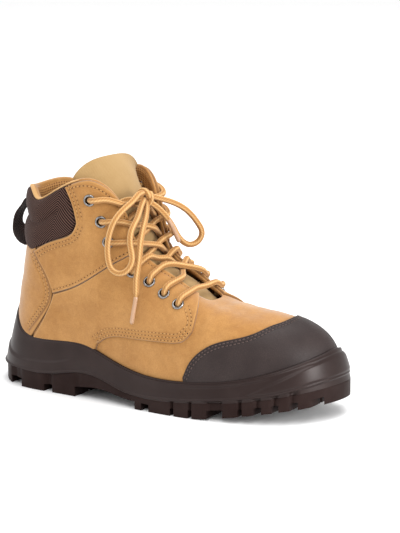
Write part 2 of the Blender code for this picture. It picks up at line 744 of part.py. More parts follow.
def make_backstay(pattern, finish):
    """The strip up the heel, from above the sole's heel peak to under the cuff."""
    rows, columns = 9, 15
    edges = [side_edge(pattern, BACKSTAY_EDGE, side, rows) for side in (LATERAL, MEDIAL)]
    around, up = strip(edges[0], edges[1], columns)
    low, _ = cuff_edges(pattern, 35)
    under_cuff = np.interp(around[:, 0], low[:, 0], low[:, 1]) - 0.012
    above_lip = pattern.up_to(around[:, -1], pattern.lip(around[:, -1])[:, 0] + LIP_CLEARANCE)
    down = np.linspace(0, 1, rows)[None]
    up = up + (1 - down) ** 2 * (under_cuff - up[:, 0])[:, None] + down**2 * (above_lip - up[:, -1])[:, None]
    return overlay("backstay", pattern, (around, up), finish)


def make_panel(pattern, side, name, finish):
    """The ankle panel, from the collar's front down round the cuff to the backstay."""
    inner = np.concatenate([side_edge(pattern, part, side, 8) for part in PANEL_CUFF_SIDE])
    outer = np.concatenate([side_edge(pattern, part, side, 8) for part in PANEL_THROAT_SIDE])
    shares = strip(inner, outer, 6, bow_last=side * SEAM_BOW, crowding=0.85)
    return overlay(name, pattern, shares, finish)


def make_quarter(pattern, side, name, finish):
    """The quarter, from the backstay to its rounded tab at the foot of the throat."""
    top = np.concatenate([side_edge(pattern, part, side, 9) for part in QUARTER_TOP])
    low = np.concatenate([side_edge(pattern, part, side, 9) for part in QUARTER_LOWER])
    shares = strip(low, top, 8, bow_first=side * SEAM_BOW, crowding=0.85)
    return overlay(name, pattern, shares, finish)


class Tongue:
    """The tongue's form: a share along its middle line, a share across from -1 to 1 and a height
    over its front face."""

    def __init__(self):
        table = np.array(TONGUE) * (GRADE[0], GRADE[2], GRADE[1], 1, 1)
        self.rows = smooth_curve(along(table[:, :2]), table)

    def facing(self, share):
        step = 0.01
        ahead = self.rows(min(1, share + step))[:2] - self.rows(max(0, share - step))[:2]
        ahead = ahead / np.linalg.norm(ahead)
        return np.array((ahead[1], 0, -ahead[0]))

    def point(self, share, across, over=0.0):
        x, z, half, fall, _ = self.rows(share)
        crown = TONGUE_CROWN * share**12 * abs(across) ** 3
        middle = np.array((x, half * across, z - crown))
        return middle + self.facing(share) * (over - fall * across**2)

    def thickness(self, share, across):
        return self.rows(share)[4] * (1 - 0.55 * across**4)

    def half_width(self, share):
        return self.rows(share)[2]

    def share_near(self, x, z):
        shares = np.linspace(0, 1, 400)
        places = self.rows(shares)[:, :2]
        return shares[np.argmin(((places - (x, z)) ** 2).sum(1))]


def make_tongue(tongue, finish):
    """A padded sheet, bowed across, from under the vamp to above the collar."""
    shares = np.linspace(0, 1, 14)
    across = np.linspace(-1, 1, 9)
    front = np.array([[tongue.point(s, a) for a in across] for s in shares])
    back = np.array([[tongue.point(s, a, -tongue.thickness(s, a)) for a in across] for s in shares])
    return sheet_solid("tongue", front, back, finish)


def make_pull_loop(pattern, finish):
    """A webbing band that bows out from the back of the cuff, wider at its foot."""
    table = np.array(PULL_LOOP)
    rows = smooth_curve(along([(row.z, row.stand_off) for row in PULL_LOOP]), table)(np.linspace(0, 1, 11))
    across = np.linspace(-1, 1, 7)
    around = 0.5 + rows[:, 1:2] * across[None]
    height = (rows[:, :1] + rows[:, 2:3] * across[None] ** 2) * GRADE[2]
    up = pattern.up_to(around, height)
    stand_off = np.broadcast_to(rows[:, 3:4], around.shape)
    inner = pattern.off(around, up, stand_off)
    outer = pattern.off(around, up, stand_off + STRAP_THICKNESS)
    return sheet_solid("pull_loop", outer, inner, finish)


def turned(profile, sides, place, direction):
    """Points and faces of a closed profile of radius and height, turned about an axis."""
    turn = np.array(Vector((0, 0, 1)).rotation_difference(Vector(direction)).to_matrix())
    points, faces = [], []
    size = len(profile)
    for k in range(sides):
        angle = 2 * math.pi * k / sides
        for radius, height in profile:
            points.append(turn @ (radius * math.cos(angle), radius * math.sin(angle), height) + place)
        ahead = (k + 1) % sides
        for j in range(size):
            after = (j + 1) % size
            faces.append((k * size + j, ahead * size + j, ahead * size + after, k * size + after))
    return points, faces


def eyelet_places(pattern, side):
    """Each eyelet's share round, its centre on the overlay's face and its direction."""
    found = []
    for x, z in EYELETS:
        shares = pattern.shares_at(x, z, side)
        normal = pattern.normal(*shares)
        place = pattern.upper(*shares) + normal * (OVERLAY_GAP + OVERLAY + 0.2)
        found.append((shares[0], place, normal))
    return found


def make_eyelet(name, place, direction, finish):
    """A flanged ring with its barrel through the leather."""
    through = -(LEATHER + OVERLAY + 1.2)
    profile = (
        (EYELET_HOLE_RADIUS, EYELET_RISE * 0.6),
        (EYELET_FLANGE_RADIUS * 0.82, EYELET_RISE),
        (EYELET_FLANGE_RADIUS, 0.0),
        (EYELET_BARREL_RADIUS, 0.0),
        (EYELET_HOLE_RADIUS, through),
    )
    points, faces = turned(profile, EYELET_SIDES, place, direction)
    return add_mesh(name, points, faces, finish)


def make_eyelet_cutter(places, finish):
    """The holes punched for the eyelets, as one hidden tool."""
    points, faces = [], []
    for _, place, direction in places:
        first = len(points)
        turn = np.array(Vector((0, 0, 1)).rotation_difference(Vector(direction)).to_matrix())
        sides = EYELET_SIDES
        for height in (-9.0, 6.0):
            for k in range(sides):
                angle = 2 * math.pi * k / sides
                reach = (PUNCH_RADIUS * math.cos(angle), PUNCH_RADIUS * math.sin(angle), height)
                points.append(turn @ reach + place)
        for k in range(sides):
            ahead = (k + 1) % sides
            faces.append((first + k, first + ahead, first + sides + ahead, first + sides + k))
        faces.append(tuple(first + k for k in range(sides)))
        faces.append(tuple(first + sides + k for k in range(sides)))
    tool = add_mesh("punch", points, faces, finish, smooth=False)
    tool.hide_render = True
    tool.display_type = "WIRE"
    return tool


def joined(obj, tool, operation):
    modifier = obj.modifiers.new(operation.lower(), "BOOLEAN")
    modifier.operation = operation
    modifier.solver = "EXACT"
    modifier.object = tool
    return obj


def tube(name, route, radius, finish):
    """A round bar along a route, closed at its ends."""
    route = np.asarray(route, float)
    ahead = np.gradient(route, axis=0)
    ahead /= np.linalg.norm(ahead, axis=1, keepdims=True)
    side = np.cross(ahead[0], (0.13, 0.21, 0.97))
    points, faces = [], []
    for place, along_it in zip(route, ahead):
        side = side - along_it * (side @ along_it)
        side = side / np.linalg.norm(side)
        other = np.cross(along_it, side)
        for k in range(LACE_SIDES):
            angle = 2 * math.pi * k / LACE_SIDES
            points.append(place + radius * (side * math.cos(angle) + other * math.sin(angle)))
    for i in range(len(route) - 1):
        for k in range(LACE_SIDES):
            ahead_k = (k + 1) % LACE_SIDES
            low, high = i * LACE_SIDES, (i + 1) * LACE_SIDES
            faces.append((low + k, low + ahead_k, high + ahead_k, high + k))
    faces.append(tuple(range(LACE_SIDES)))
    faces.append(tuple((len(route) - 1) * LACE_SIDES + k for k in range(LACE_SIDES)))
    return add_mesh(name, points, faces, finish)


def nearest_rim(pattern, place, side):
    """The share round at which the throat's edge lies nearest to a place."""
    half = np.linspace(0.02, 0.4, 600)
    around = half if side == LATERAL else 1 - half
    return around[np.argmin(((pattern.rim(around) - place) ** 2).sum(1))]


def lace_bar(pattern, tongue, high, low, over_side):
    """A lace's route from outside an eyelet, over that edge of the throat and across the tongue, to
    just short of the other edge at the next eyelet up."""
    radius = LACE_DIAMETER / 2
    under_side = -over_side
    _, place, normal = low[over_side]
    rims = {
        (level, side): nearest_rim(pattern, eyelets[side][1], side)
        for level, eyelets in (("low", low), ("high", high))
        for side in (LATERAL, MEDIAL)
    }
    start = place + normal * (EYELET_RISE + radius + LACE_CLEARANCE)
    edge_share = 0.9 * rims["low", over_side] + 0.1 * rims["high", over_side]
    edge = pattern.off(edge_share, 0.98, OVERLAY_GAP + OVERLAY + radius + LACE_CLEARANCE)
    low_share = tongue.share_near(*pattern.rim(rims["low", over_side])[[0, 2]])
    high_share = tongue.share_near(*pattern.rim(rims["high", under_side])[[0, 2]])
    lift = radius + LACE_LIFT
    half_way = (low_share + high_share) / 2
    middle = tongue.point(half_way, 0.0, lift)
    over_edge = abs(pattern.rim(rims["low", over_side])[1])
    under_edge = abs(pattern.rim(rims["high", under_side])[1])
    near_share = 0.7 * low_share + 0.3 * high_share
    beyond_share = 0.3 * low_share + 0.7 * high_share
    near = tongue.point(near_share, 0.5 * over_edge / tongue.half_width(near_share) * over_side, lift + 2.5)
    reach = (under_edge - UNDER_EDGE_GAP) / tongue.half_width(beyond_share)
    beyond = tongue.point(beyond_share, reach * under_side, lift)
    return resampled([start, edge, near, middle, beyond], 10)


def make_laces(pattern, tongue, eyelets, finish):
    """The crossings, each of two bars joined where they cross."""
    radius = LACE_DIAMETER / 2
    for k in range(len(EYELETS) - 1):
        low = {side: eyelets[side][k + 1] for side in (LATERAL, MEDIAL)}
        high = {side: eyelets[side][k] for side in (LATERAL, MEDIAL)}
        first = tube(f"lace_cross_{k + 1}", lace_bar(pattern, tongue, high, low, LATERAL), radius, finish)
        second = tube(f"cross_tool_{k + 1}", lace_bar(pattern, tongue, high, low, MEDIAL), radius, finish)
        second.hide_render = True
        second.display_type = "WIRE"
        joined(first, second, "UNION")
    knot = np.array(KNOT) * GRADE
    routes = []
    for side in (LATERAL, MEDIAL):
        _, place, normal = eyelets[side][0]
        edge_share = nearest_rim(pattern, place, side)
        edge = pattern.off(edge_share, 0.98, OVERLAY_GAP + OVERLAY + radius + LACE_CLEARANCE)
        near = 0.45 * edge + 0.55 * knot + (4, 0, 0)
        start = place + normal * (EYELET_RISE + radius + LACE_CLEARANCE)
        routes.append(resampled([start, edge, near, knot], 9))
    top = tube("lace_knot", routes[0], radius, finish)
    other = tube("knot_tool_1", routes[1], radius, finish)
    bulk = tube("knot_tool_2", [knot + (0, y, 0) for y in (-6.5, -4, 4, 6.5)], KNOT_RADIUS, finish)
    for tool in (other, bulk):
        tool.hide_render = True
        tool.display_type = "WIRE"
        joined(top, tool, "UNION")


def cord(name, route, radius, finish):
    """A soft length of lace, as a round curve with closed ends."""
    data = bpy.data.curves.new(name, "CURVE")
    data.dimensions = "3D"
    data.bevel_depth = radius * MM
    data.bevel_resolution = 2
    data.use_fill_caps = True
    spline = data.splines.new("POLY")
    spline.points.add(len(route) - 1)
    for point, place in zip(spline.points, in_metres(route)):
        point.co = (*place, 1)
    data.materials.append(material(name, finish))
    obj = bpy.data.objects.new(name, data)
    bpy.context.scene.collection.objects.link(obj)
    return obj


def clear_scene():
    for obj in list(bpy.data.objects):
        bpy.data.objects.remove(obj)


def main():
    clear_scene()
    pattern = Pattern()
    tongue = Tongue()
    eyelets = {side: eyelet_places(pattern, side) for side in (LATERAL, MEDIAL)}
    punch = make_eyelet_cutter(eyelets[LATERAL] + eyelets[MEDIAL], METAL)
    make_outsole(pattern, RUBBER)
    make_midsole(pattern, RUBBER)
    make_insole(pattern, TEXTILE)
    joined(make_upper(pattern, NUBUCK), punch, "DIFFERENCE")
    make_toe_cap(pattern, COATED_LEATHER)
    make_cuff(pattern, CUFF_CLOTH)
    make_backstay(pattern, NUBUCK)
    make_tongue(tongue, TEXTILE)
    make_pull_loop(pattern, CUFF_CLOTH)
    for side, word in ((LATERAL, "lateral"), (MEDIAL, "medial")):
        joined(make_panel(pattern, side, f"ankle_panel_{word}", NUBUCK), punch, "DIFFERENCE")
        joined(make_quarter(pattern, side, f"quarter_{word}", NUBUCK), punch, "DIFFERENCE")
        for k, (_, place, direction) in enumerate(eyelets[side], start=1):
            make_eyelet(f"eyelet_{word}_{k}", place, direction, METAL)
    make_laces(pattern, tongue, eyelets, LACE)
    for name, route in (
        ("lace_loop_left", LEFT_LOOP),
        ("lace_loop_right", RIGHT_LOOP),
        ("lace_end_left", LEFT_END),
        ("lace_end_right", RIGHT_END),
    ):
        graded = np.array(route) * GRADE
        cord(name, resampled(graded, len(route) + 3), LACE_DIAMETER / 2, LACE)


main()
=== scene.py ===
"""Looks of a right lace-up safety boot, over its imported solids: leather, cloth, rubber, stitches and
a tied lace, with a plain pale floor and soft studio light.

Frame as in the solids: +X to the toe, +Y to the wearer's left (the inner side), +Z up. The tables
are the boot's pattern in millimetres, and in_metres turns pattern points into places in the frame.
"""

import math
from collections import namedtuple

import bmesh
import bpy
import numpy as np
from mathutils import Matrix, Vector

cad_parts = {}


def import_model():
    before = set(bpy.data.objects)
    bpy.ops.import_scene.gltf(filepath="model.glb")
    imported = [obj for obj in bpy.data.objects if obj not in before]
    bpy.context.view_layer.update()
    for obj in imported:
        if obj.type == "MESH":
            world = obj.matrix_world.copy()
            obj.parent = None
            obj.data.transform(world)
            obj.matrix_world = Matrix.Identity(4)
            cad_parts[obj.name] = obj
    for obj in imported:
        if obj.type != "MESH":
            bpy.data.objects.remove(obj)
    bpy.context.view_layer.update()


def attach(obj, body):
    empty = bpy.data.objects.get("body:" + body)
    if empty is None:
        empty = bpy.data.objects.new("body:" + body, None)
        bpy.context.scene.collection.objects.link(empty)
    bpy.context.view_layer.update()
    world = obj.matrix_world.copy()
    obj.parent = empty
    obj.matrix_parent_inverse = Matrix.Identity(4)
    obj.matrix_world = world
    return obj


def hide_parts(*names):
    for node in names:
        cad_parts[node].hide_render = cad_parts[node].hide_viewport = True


MM = 0.001
LATERAL, MEDIAL = -1, 1
SIDES = ((LATERAL, "lateral"), (MEDIAL, "medial"))
# The pattern's middle line lies this far to the lateral side of the frame's middle.
SIDE_SHIFT = 2.2

# Thicknesses of the upper and of what lies on it.
LEATHER = 2.2
COLLAR_PADDING = 4.5
OVERLAY_TOP = 2.2
CAP_TOP = 1.7
PANEL_TOP = 2.8
BACKSTAY_TOP = 1.8
CUFF_EDGE = 1.6
CUFF_PUFF = 3.2
CUFF_LENGTH = 800.0
EDGE_ROUND = 1.1
GAP = 0.4
# The insole's edge from its foot up: inset and rise.
INSOLE_EDGE = ((0.6, 0.0), (0.4, 1.0), (0.4, 2.8), (0.9, 3.7), (2.2, 4.0))
INSOLE_COUNT = 300
# Shares up at which seams and edges end just under the rim, and how deep pieces go behind the lip.
RIM_SHARE = 0.985
EDGE_SHARE = 0.997
TAB_END_X = {LATERAL: 36.5, MEDIAL: 44.0}
EDGE_ROW = 3.0
PANEL_ROW_FROM = (-66.5, 171.5)
UNDER_LIP = 2.0
SLOPE_STEP = 1e-4
CREASE_RIDGE = 0.8

# Lace and eyelets.
LACE_DIAMETER = 4.8
LACE_RADIUS = LACE_DIAMETER / 2
LACE_CLEAR = LACE_RADIUS + 0.3
LACE_SIDES, LACE_STEP, LACE_TIP = 14, 1.2, 1.5
LACE_STRIPES, LACE_TURNS, LACE_WEAVE = 4, 5, 2.4
FRAME_START = (0.13, 0.21, 0.97)
STRAND_LIFT = LACE_RADIUS + 1.2
CROSS_LIFT = {LATERAL: 0.5 * LACE_DIAMETER, MEDIAL: -0.2 * LACE_DIAMETER}
# How a lace comes out of an eyelet: depths inside it, depth behind the next one, and turn outside.
EYELET_INSIDE, EYELET_MOUTH, UNDER_EYELET, EYELET_TURN = 7.0, 1.5, 8.5, 4.0
THROAT_SPAN, EDGE_BELOW_EYELET = (0.02, 0.37), 1.5
PANEL_EYELETS = 3
EYELET_FLANGE_RADIUS = 4.95
EYELET_HOLE_RADIUS = 3.1
PUNCH_RADIUS = 3.6

# The upper's sections from the toe tip round to the back of the heel.
Section = namedtuple(
    "Section",
    "lateral_x lateral_y medial_x medial_y rim_x rim_y rim_z "
    "inset swell rise lead_x lead_y lead_z lip_z lip_out",
)
SECTIONS = tuple(
    Section(*row)
    for row in (
        (153, 16, 153, 16, 47, 0, 86.5, 9, 1.0, 48.5, 52, 2, -6.5, 53, 5.5),
        (149, -2, 150.5, 31, 46.5, 6, 86.5, 9, 1.0, 47.5, 48, 11.5, -7.5, 51, 5.5),
        (132, -28, 137, 46.5, 43.5, 11.5, 87.5, 8.5, 1.5, 46, 36.5, 20.5, -8, 45, 5.0),
        (98, -46, 102, 57, 33, 14.5, 92.5, 7.5, 3, 38, 23, 26, -8.5, 35.5, 3.6),
        (50, -53.5, 56, 56.5, 13, 15.5, 104, 7, 3, 36, 8, 26.5, -11, 28.5, 3.0),
        (0, -51, -2, 45, -9, 18.5, 117, 7, 2.5, 38, 1, 23.5, -16, 28.6, 3.0),
        (-36, -46, -36, 39.5, -20, 22.5, 138.5, 7, 2, 44, -1, 19, -28.5, 37.3, 3.0),
        (-57, -43.5, -57, 38.5, -29, 28, 163.5, 7, 2, 50, -3, 14.5, -40.5, 43.6, 3.0),
        (-78, -42, -78, 39, -49, 39, 180, 7, 2, 54, -6, 4, -44, 44.1, 3.0),
        (-105, -40.5, -105, 40.5, -84, 42, 167, 7.5, 2, 50, -7, 0, -41, 42.8, 3.0),
        (-125.6, -36, -125.6, 36.2, -101.2, 37.8, 160, 8.7, 2, 46.5, -3, -0.8, -39, 46.5, 3.0),
        (-143.5, -23.6, -143.5, 23.7, -115.5, 24.8, 166, 10.3, 1.7, 44, 1.4, -1, -42, 60, 3.0),
        (-153, 0, -153, 0, -128.5, 0, 163, 12, 1, 44, 2, 0, -43, 63.5, 3.0),
    )
)

# How much further the inner side falls from the rim than the outer side, section by section.
MEDIAL_FALL = (0, 3, 10, 20, 14, 6, 0, 0, 0, 0, 0, 0, 0)

# Heights along the sole: tray, joint of midsole and outsole, root of the lugs and tread.
SoleHeight = namedtuple("SoleHeight", "x tray joint root tread")
SOLE_HEIGHTS = tuple(
    SoleHeight(*row)
    for row in (
        (-153, 28, 16.5, 9, 3.5),
        (-138, 28, 16.5, 7, 0.8),
        (-128, 28, 16.5, 6, 0),
        (-88, 28, 16.5, 6, 0),
        (-58, 28.5, 21, 9, 0),
        (-38, 26.5, 19.5, 10.5, 0),
        (-15, 20.5, 13.5, 7.5, 0),
        (10, 17, 10.8, 6, 0),
        (45, 17.5, 12.5, 6.2, 0),
        (70, 19.5, 15, 8.5, 2.2),
        (95, 22.5, 18, 12, 6.2),
        (123, 27.5, 23, 16.5, 10.8),
        (153, 33.5, 29, 21.5, 15.0),
    )
)
LUGS = (
    (-153, -134),
    (-120, -95.5),
    (-87, -64),
    (-1, 5.5),
    (13, 33.5),
    (37, 50),
    (53.5, 66),
    (80, 92),
    (95.5, 104),
    (110, 117),
    (122, 129),
    (134, 141),
    (147, 153),
)
LUG_COLUMNS = (0.0, 0.25, 0.31, 0.46, 0.54, 0.69, 0.75, 1.0)
LUG_CELLS = (0, 2, 4, 6)
ROW_STEP = 3.0
SOLE_TIP, TIP_ROWS = 153, (-152.9, -152.2, -151.0, 151.0, 152.2, 152.9)
FLUTE_DEPTH = 2.6
LUG_ROUND = 0.7
# The outsole's wall from its joint down: inset and depth under the joint.
OUTSOLE_WALL = ((6.0, GAP / 2), (0.6, GAP / 2), (0.05, 0.8), (0.0, 1.6), (0.0, 2.6))
SKIRT = 0.5
MIDSOLE_COUNT, MIDSOLE_ROWS, MIDSOLE_UNDER = 480, 56, 6.0
BELLY = 0.5

# Lines on the side of the midsole, as x and z: the bead that runs round it, the step on the heel,
# the edge where the toe bumper starts, and the span of the fine groove under the lip.
BEAD_LINE = (
    (-153, 17.5),
    (-87, 17.2),
    (-58, 21.6),
    (-38, 20.0),
    (-17, 14.2),
    (4, 11.6),
    (24, 12.2),
    (53, 14.9),
    (95, 21.0),
    (123, 25.8),
    (143, 32.0),
    (153, 34.5),
)
BEAD_HEIGHT, BEAD_WIDTH = 1.1, 0.8
HEEL_STEP_LINE = ((-153, 40), (-142, 30), (-125, 24.6), (-105, 24.4), (-89, 25.6), (-73, 29), (-58, 34))
HEEL_STEP = 1.2
BUMPER_EDGE = ((88, 17.5), (96, 21.9), (107, 27.7), (118, 34.1), (128, 39.7), (138, 46))
BUMPER_STEP = 1.5
LIP_GROOVE_START, LIP_GROOVE_END = (40, 52), (118, 104)
LIP_GROOVE_BELOW, LIP_GROOVE_DEPTH, LIP_GROOVE_WIDTH = 2.6, 0.6, 0.6
LIP_DROP, LIP_ROLL = 1.0, 0.7
# The lip's top from its outer edge in: share of its width and rise.
LIP_TOP = ((0.8, -0.25), (0.5, 0.15), (0.2, 0.0))

# Edges of the overlays in side view, as x and z, the same on both sides.
CAP_EDGE = ((42, 31), (47.5, 43), (56.5, 53.5), (69, 61), (94, 68.5), (105, 74))
CAP_CREST_X = 111.0
CAP_COUNT, CAP_LEAST = 220, 0.012
CAP_SEAM_ROWS, CAP_SEAM_LEAST = (2.0, 4.3), 0.02
CUFF_FRONT_TOP = (-71, 172)
CUFF_LOWER = ((-61.5, 144), (-65.5, 136.5), (-78.5, 129.5), (-96, 122), (-106, 117.5))
CUFF_BACK_Z = 116.0
CUFF_COUNT, CUFF_ROWS, CUFF_RIM_SHARE = 240, 64, 0.995
CUFF_LEAST, CUFF_HEM = 0.2, 2.0
PULL_DEPTH, PULL_WIDTH = 0.25, 0.12
BINDING_COUNT, BINDING_SIDES, BINDING_PAST = 220, 16, 0.012
BINDING_BREADTH, BINDING_HEIGHT = 2.3, 1.2
BINDING_IN, BINDING_DOWN = 0.9, 0.1
BACKSTAY_EDGE = ((-105, 115.5), (-95, 100.5), (-89.5, 83.5), (-101.5, 62), (-114.5, 47.5))
BACKSTAY_COLUMNS, UNDER_CUFF = 120, 0.004
SEAM_BOW = 0.0042
# Points along each stretch of an edge, along a row under the rim, and where an edge meets the rim.
EDGE_COUNT, RIM_ROW_COUNT, OVERLAY_ROWS, QUARTER_ROWS = 60, 90, 70, 80
PANEL_RIM_COUNT, QUARTER_RIM_FROM = 55, 64
PANEL_CUFF_SIDE = (
    ((-69.2, 173), (-63.2, 160), (-59.8, 146)),
    ((-59.8, 143), (-64, 135), (-78, 128), (-95, 120.5), (-103, 115)),
)
PANEL_THROAT_SIDE = (
    ((-50, 177.6), (-31, 163), (-21, 138), (-18.5, 123)),
    ((-20, 121), (-34, 112), (-65, 92.8), (-87.5, 84.5)),
)
QUARTER_TOP = (
    ((-86.5, 82.5), (-65, 90.8), (-34, 110), (-17, 121)),
    ((-15, 119.5), (-9, 115.5), (13, 102.5), (33, 91), (42, 87.5)),
)
QUARTER_LOWER = (
    ((-111, 46.2), (-85, 46.4), (-64, 46.4), (-45, 45)),
    ((-43.5, 45.8), (-34, 52), (-10, 55.6), (8, 56.2), (26, 56.8), (41.5, 60), (48, 67.5)),
)
QUARTER_FRONT = ((41, 86.5), (44.5, 82.5), (47.8, 76), (48.3, 69))
EYELETS = ((-49, 163.7), (-40, 146.6), (-34, 130.3), (-14.5, 107), (1, 99.8), (16, 92.3), (30.5, 85.8))

# Soft creases in the leather, as troughs with a ridge on each side: from and to in side view, half
# width and depth.
Crease = namedtuple("Crease", "from_x from_z to_x to_z width depth")
CREASES = tuple(
    Crease(*row)
    for row in (
        (58, 56, 74, 80, 6.0, 0.55),
        (68, 66, 88, 83, 5.0, 0.45),
        (52, 70, 60, 88, 4.5, 0.40),
        (-60, 66, -20, 74, 9.0, 0.45),
        (-92, 74, -70, 66, 7.0, 0.40),
        (-80, 112, -50, 120, 6.0, 0.35),
        (-34, 96, -8, 92, 6.0, 0.45),
        (10, 44, 34, 40, 8.0, 0.35),
        (-128, 92, -106, 84, 7.0, 0.35),
    )
)

# The tongue's middle line, half width, fall of its edges and thickness.
TongueRow = namedtuple("TongueRow", "x z half_width fall thickness")
TONGUE = tuple(
    TongueRow(*row)
    for row in (
        (60, 69.5, 18, 3.0, 2.5),
        (42, 82, 22, 6.0, 3.5),
        (15, 99.5, 24.5, 8.0, 4.5),
        (-8, 112, 25, 8.5, 5.5),
        (-20, 133, 26.5, 9.0, 6.5),
        (-31, 159, 30.5, 10.0, 8.0),
        (-44, 182, 34.5, 10.0, 9.0),
        (-52, 195, 37, 8.0, 8.5),
    )
)
TONGUE_CROWN = 10.0
TONGUE_TURN = 7.0
TONGUE_TOP, TONGUE_STEP = 0.93, 0.01
TONGUE_ROWS, TONGUE_TOP_ROWS, TONGUE_SIDES = 46, 12, 64
QUILT, QUILT_WAVES = 0.5, 9
TONGUE_HALF_CLOTH, TONGUE_CLOTH_LENGTH = 33, 190

# The pull loop from its top to its foot: height, half width as a share round, rise and stand-off.
LoopRow = namedtuple("LoopRow", "z half_width side_rise stand_off")
PULL_LOOP = tuple(
    LoopRow(*row)
    for row in (
        (153.5, 0.0085, 0.0, 3.6),
        (152, 0.0085, 0.0, 6.0),
        (147, 0.0068, 0.0, 9.5),
        (140, 0.0053, 0.0, 14.5),
        (131, 0.0050, 0.3, 17.5),
        (123, 0.0075, 0.8, 16.5),
        (117, 0.019, 1.5, 10.5),
        (113.5, 0.026, 2.5, 5.7),
        (112.2, 0.026, 2.5, 2.2),
    )
)
STRAP_THICKNESS, STRAP_EDGE = 1.8, 0.9
LOOP_ROWS, LOOP_COLUMNS = 60, 25

# Middle lines of the lace's soft lengths, from the knot outwards.
KNOT = (-19.5, -5, 163)
LEFT_LOOP = (
    (-18.5, -15, 167.5),
    (-18.5, -24, 163.5),
    (-20, -36, 158),
    (-23, -44.5, 150),
    (-25.5, -48, 140),
    (-26.5, -49.5, 129.5),
    (-25.4, -50, 119),
    (-22.2, -50.2, 112),
    (-15.5, -49.8, 109.2),
    (-8.9, -48.2, 112),
    (-6.2, -45.2, 118.8),
    (-9.5, -42, 130),
    (-11, -39.5, 140),
    (-12.5, -28, 149.5),
    (-16.5, -15, 158),
)
LEFT_END = (
    (-14.5, -10, 154),
    (-8, -25, 143.5),
    (-4, -36, 132.5),
    (-2.5, -40.5, 121),
    (-2.3, -43.3, 112),
    (-2.3, -45.2, 104),
    (-2.1, -45.8, 96.5),
    (-2, -46.5, 90.5),
    (-3, -48, 80.5),
    (-4.5, -49, 69),
)
RIGHT_LOOP = (
    (-15, 10, 160.5),
    (-8, 20.5, 156),
    (-1, 29.5, 149),
    (4.5, 38, 137.5),
    (6.3, 41.6, 128.3),
    (4, 40, 122.2),
    (-0.6, 34.2, 119.6),
    (-4.6, 27.8, 123.6),
    (-8, 19, 137),
    (-13, 7.5, 151.5),
)
RIGHT_END = (
    (-11.5, 1, 155),
    (-5.5, 7, 145.5),
    (-2, 11.5, 135),
    (0.5, 15.5, 125),
)
# Where the loops and ends run on into the knot.
LEFT_LOOP_ROOT = ((-21, -2.5, 165.5), (-19.2, -8, 167.2), (-18, -9.5, 161.3), (-20, -4.5, 163))
RIGHT_LOOP_ROOT = ((-21, -3.5, 164), (-18.5, 2.5, 163), (-16, 0, 158), (-20, -3.5, 161.5))
LEFT_END_ROOT = ((-20.5, -2.5, 163.5), (-17.5, -5.5, 159))
RIGHT_END_ROOT = ((-20.5, -4.5, 163.5), (-16, -3.5, 160))
# The bow: node, route and whether it is an end with an aglet.
BOW = (
    ("lace_loop_left", LEFT_LOOP_ROOT[:2] + LEFT_LOOP + LEFT_LOOP_ROOT[2:], False),
    ("lace_loop_right", RIGHT_LOOP_ROOT[:2] + RIGHT_LOOP + RIGHT_LOOP_ROOT[2:], False),
    ("lace_end_left", LEFT_END_ROOT + LEFT_END, True),
    ("lace_end_right", RIGHT_END_ROOT + RIGHT_END, True),
)
KNOT_DEPTH, KNOT_HEIGHT, KNOT_PITCH, KNOT_HALF_TURNS = 5.4, 6.0, 1.6, 2.3
ANKLE_FROM_Z = 120
AGLET_LENGTH, AGLET_MOST = 24.0, 0.45
AGLET_RADIUS = 1.75
PINCHED_SHARE = 0.6

# Strands over one edge of the throat and under the other: side of the first edge, eyelet there and
# eyelet on the other side. Then strands over both edges: lateral eyelet, medial eyelet and lift.
CROSSINGS = tuple((side, k, k + 1) for k in range(1, 5) for side in (LATERAL, MEDIAL))
OVER_BOTH = ((5, 6, 9.5), (6, 5, 5.0), (7, 7, 7.9))

# Camera of the photograph: direction, distance, aim, and pixels to a metre at the aim.
CAMERA_AZIMUTH, CAMERA_ELEVATION = 31.0, 12.0
CAMERA_DISTANCE = 2.0
CAMERA_AIM = (0.0295, -SIDE_SHIFT * MM, 0.1107)
PIXELS_PER_METRE = 1248.0
PICTURE_HEIGHT = 533.0
SENSOR = 36.0


def smooth_curve(knots, values, period=None):
    """A curve through values at rising knots with smooth slope and bend: a natural cubic spline, or
    a closed one where a period is given."""
    knots = np.asarray(knots, float)
    values = np.asarray(values, float)
    if period:
        knots = np.append(knots, knots[0] + period)
        values = np.concatenate([values, values[:1]])
    steps = np.diff(knots)
    slopes = np.diff(values, axis=0) / steps.reshape(-1, *[1] * (values.ndim - 1))
    count = len(knots)
    matrix = np.eye(count)
    right = np.zeros_like(values)
    for i in range(1, count - 1):
        matrix[i, i - 1 : i + 2] = steps[i - 1], 2 * (steps[i - 1] + steps[i]), steps[i]
        right[i] = 6 * (slopes[i] - slopes[i - 1])
    if period:
        matrix[0, [0, 1, -2]] = 2 * (steps[0] + steps[-1]), steps[0], steps[-1]
        right[0] = 6 * (slopes[0] - slopes[-1])
        matrix[-1, 0] = -1
    bends = np.linalg.solve(matrix, right)

    def at(place):
        place = np.asarray(place, float)
        if period:
            place = (place - knots[0]) % period + knots[0]
        place = np.clip(place, knots[0], knots[-1])
        i = np.clip(np.searchsorted(knots, place, side="right") - 1, 0, count - 2)
        shape = place.shape + (1,) * (values.ndim - 1)
        step = steps[i].reshape(shape)
        before = ((place - knots[i]).reshape(shape)) / step
        after = 1 - before
        straight = after * values[i] + before * values[i + 1]
        bend = (after**3 - after) * bends[i] + (before**3 - before) * bends[i + 1]
        return straight + bend * step**2 / 6

    return at


def along(points):
    """Each point's share of the way along the points."""
    lengths = np.linalg.norm(np.diff(np.asarray(points, float), axis=0), axis=1)
    return np.concatenate([[0], np.cumsum(lengths)]) / lengths.sum()


def length_of(line):
    return np.linalg.norm(np.diff(line, axis=0), axis=1).sum()


def unit(vectors):
    """The vectors at length one."""
    return vectors / np.linalg.norm(vectors, axis=-1, keepdims=True)


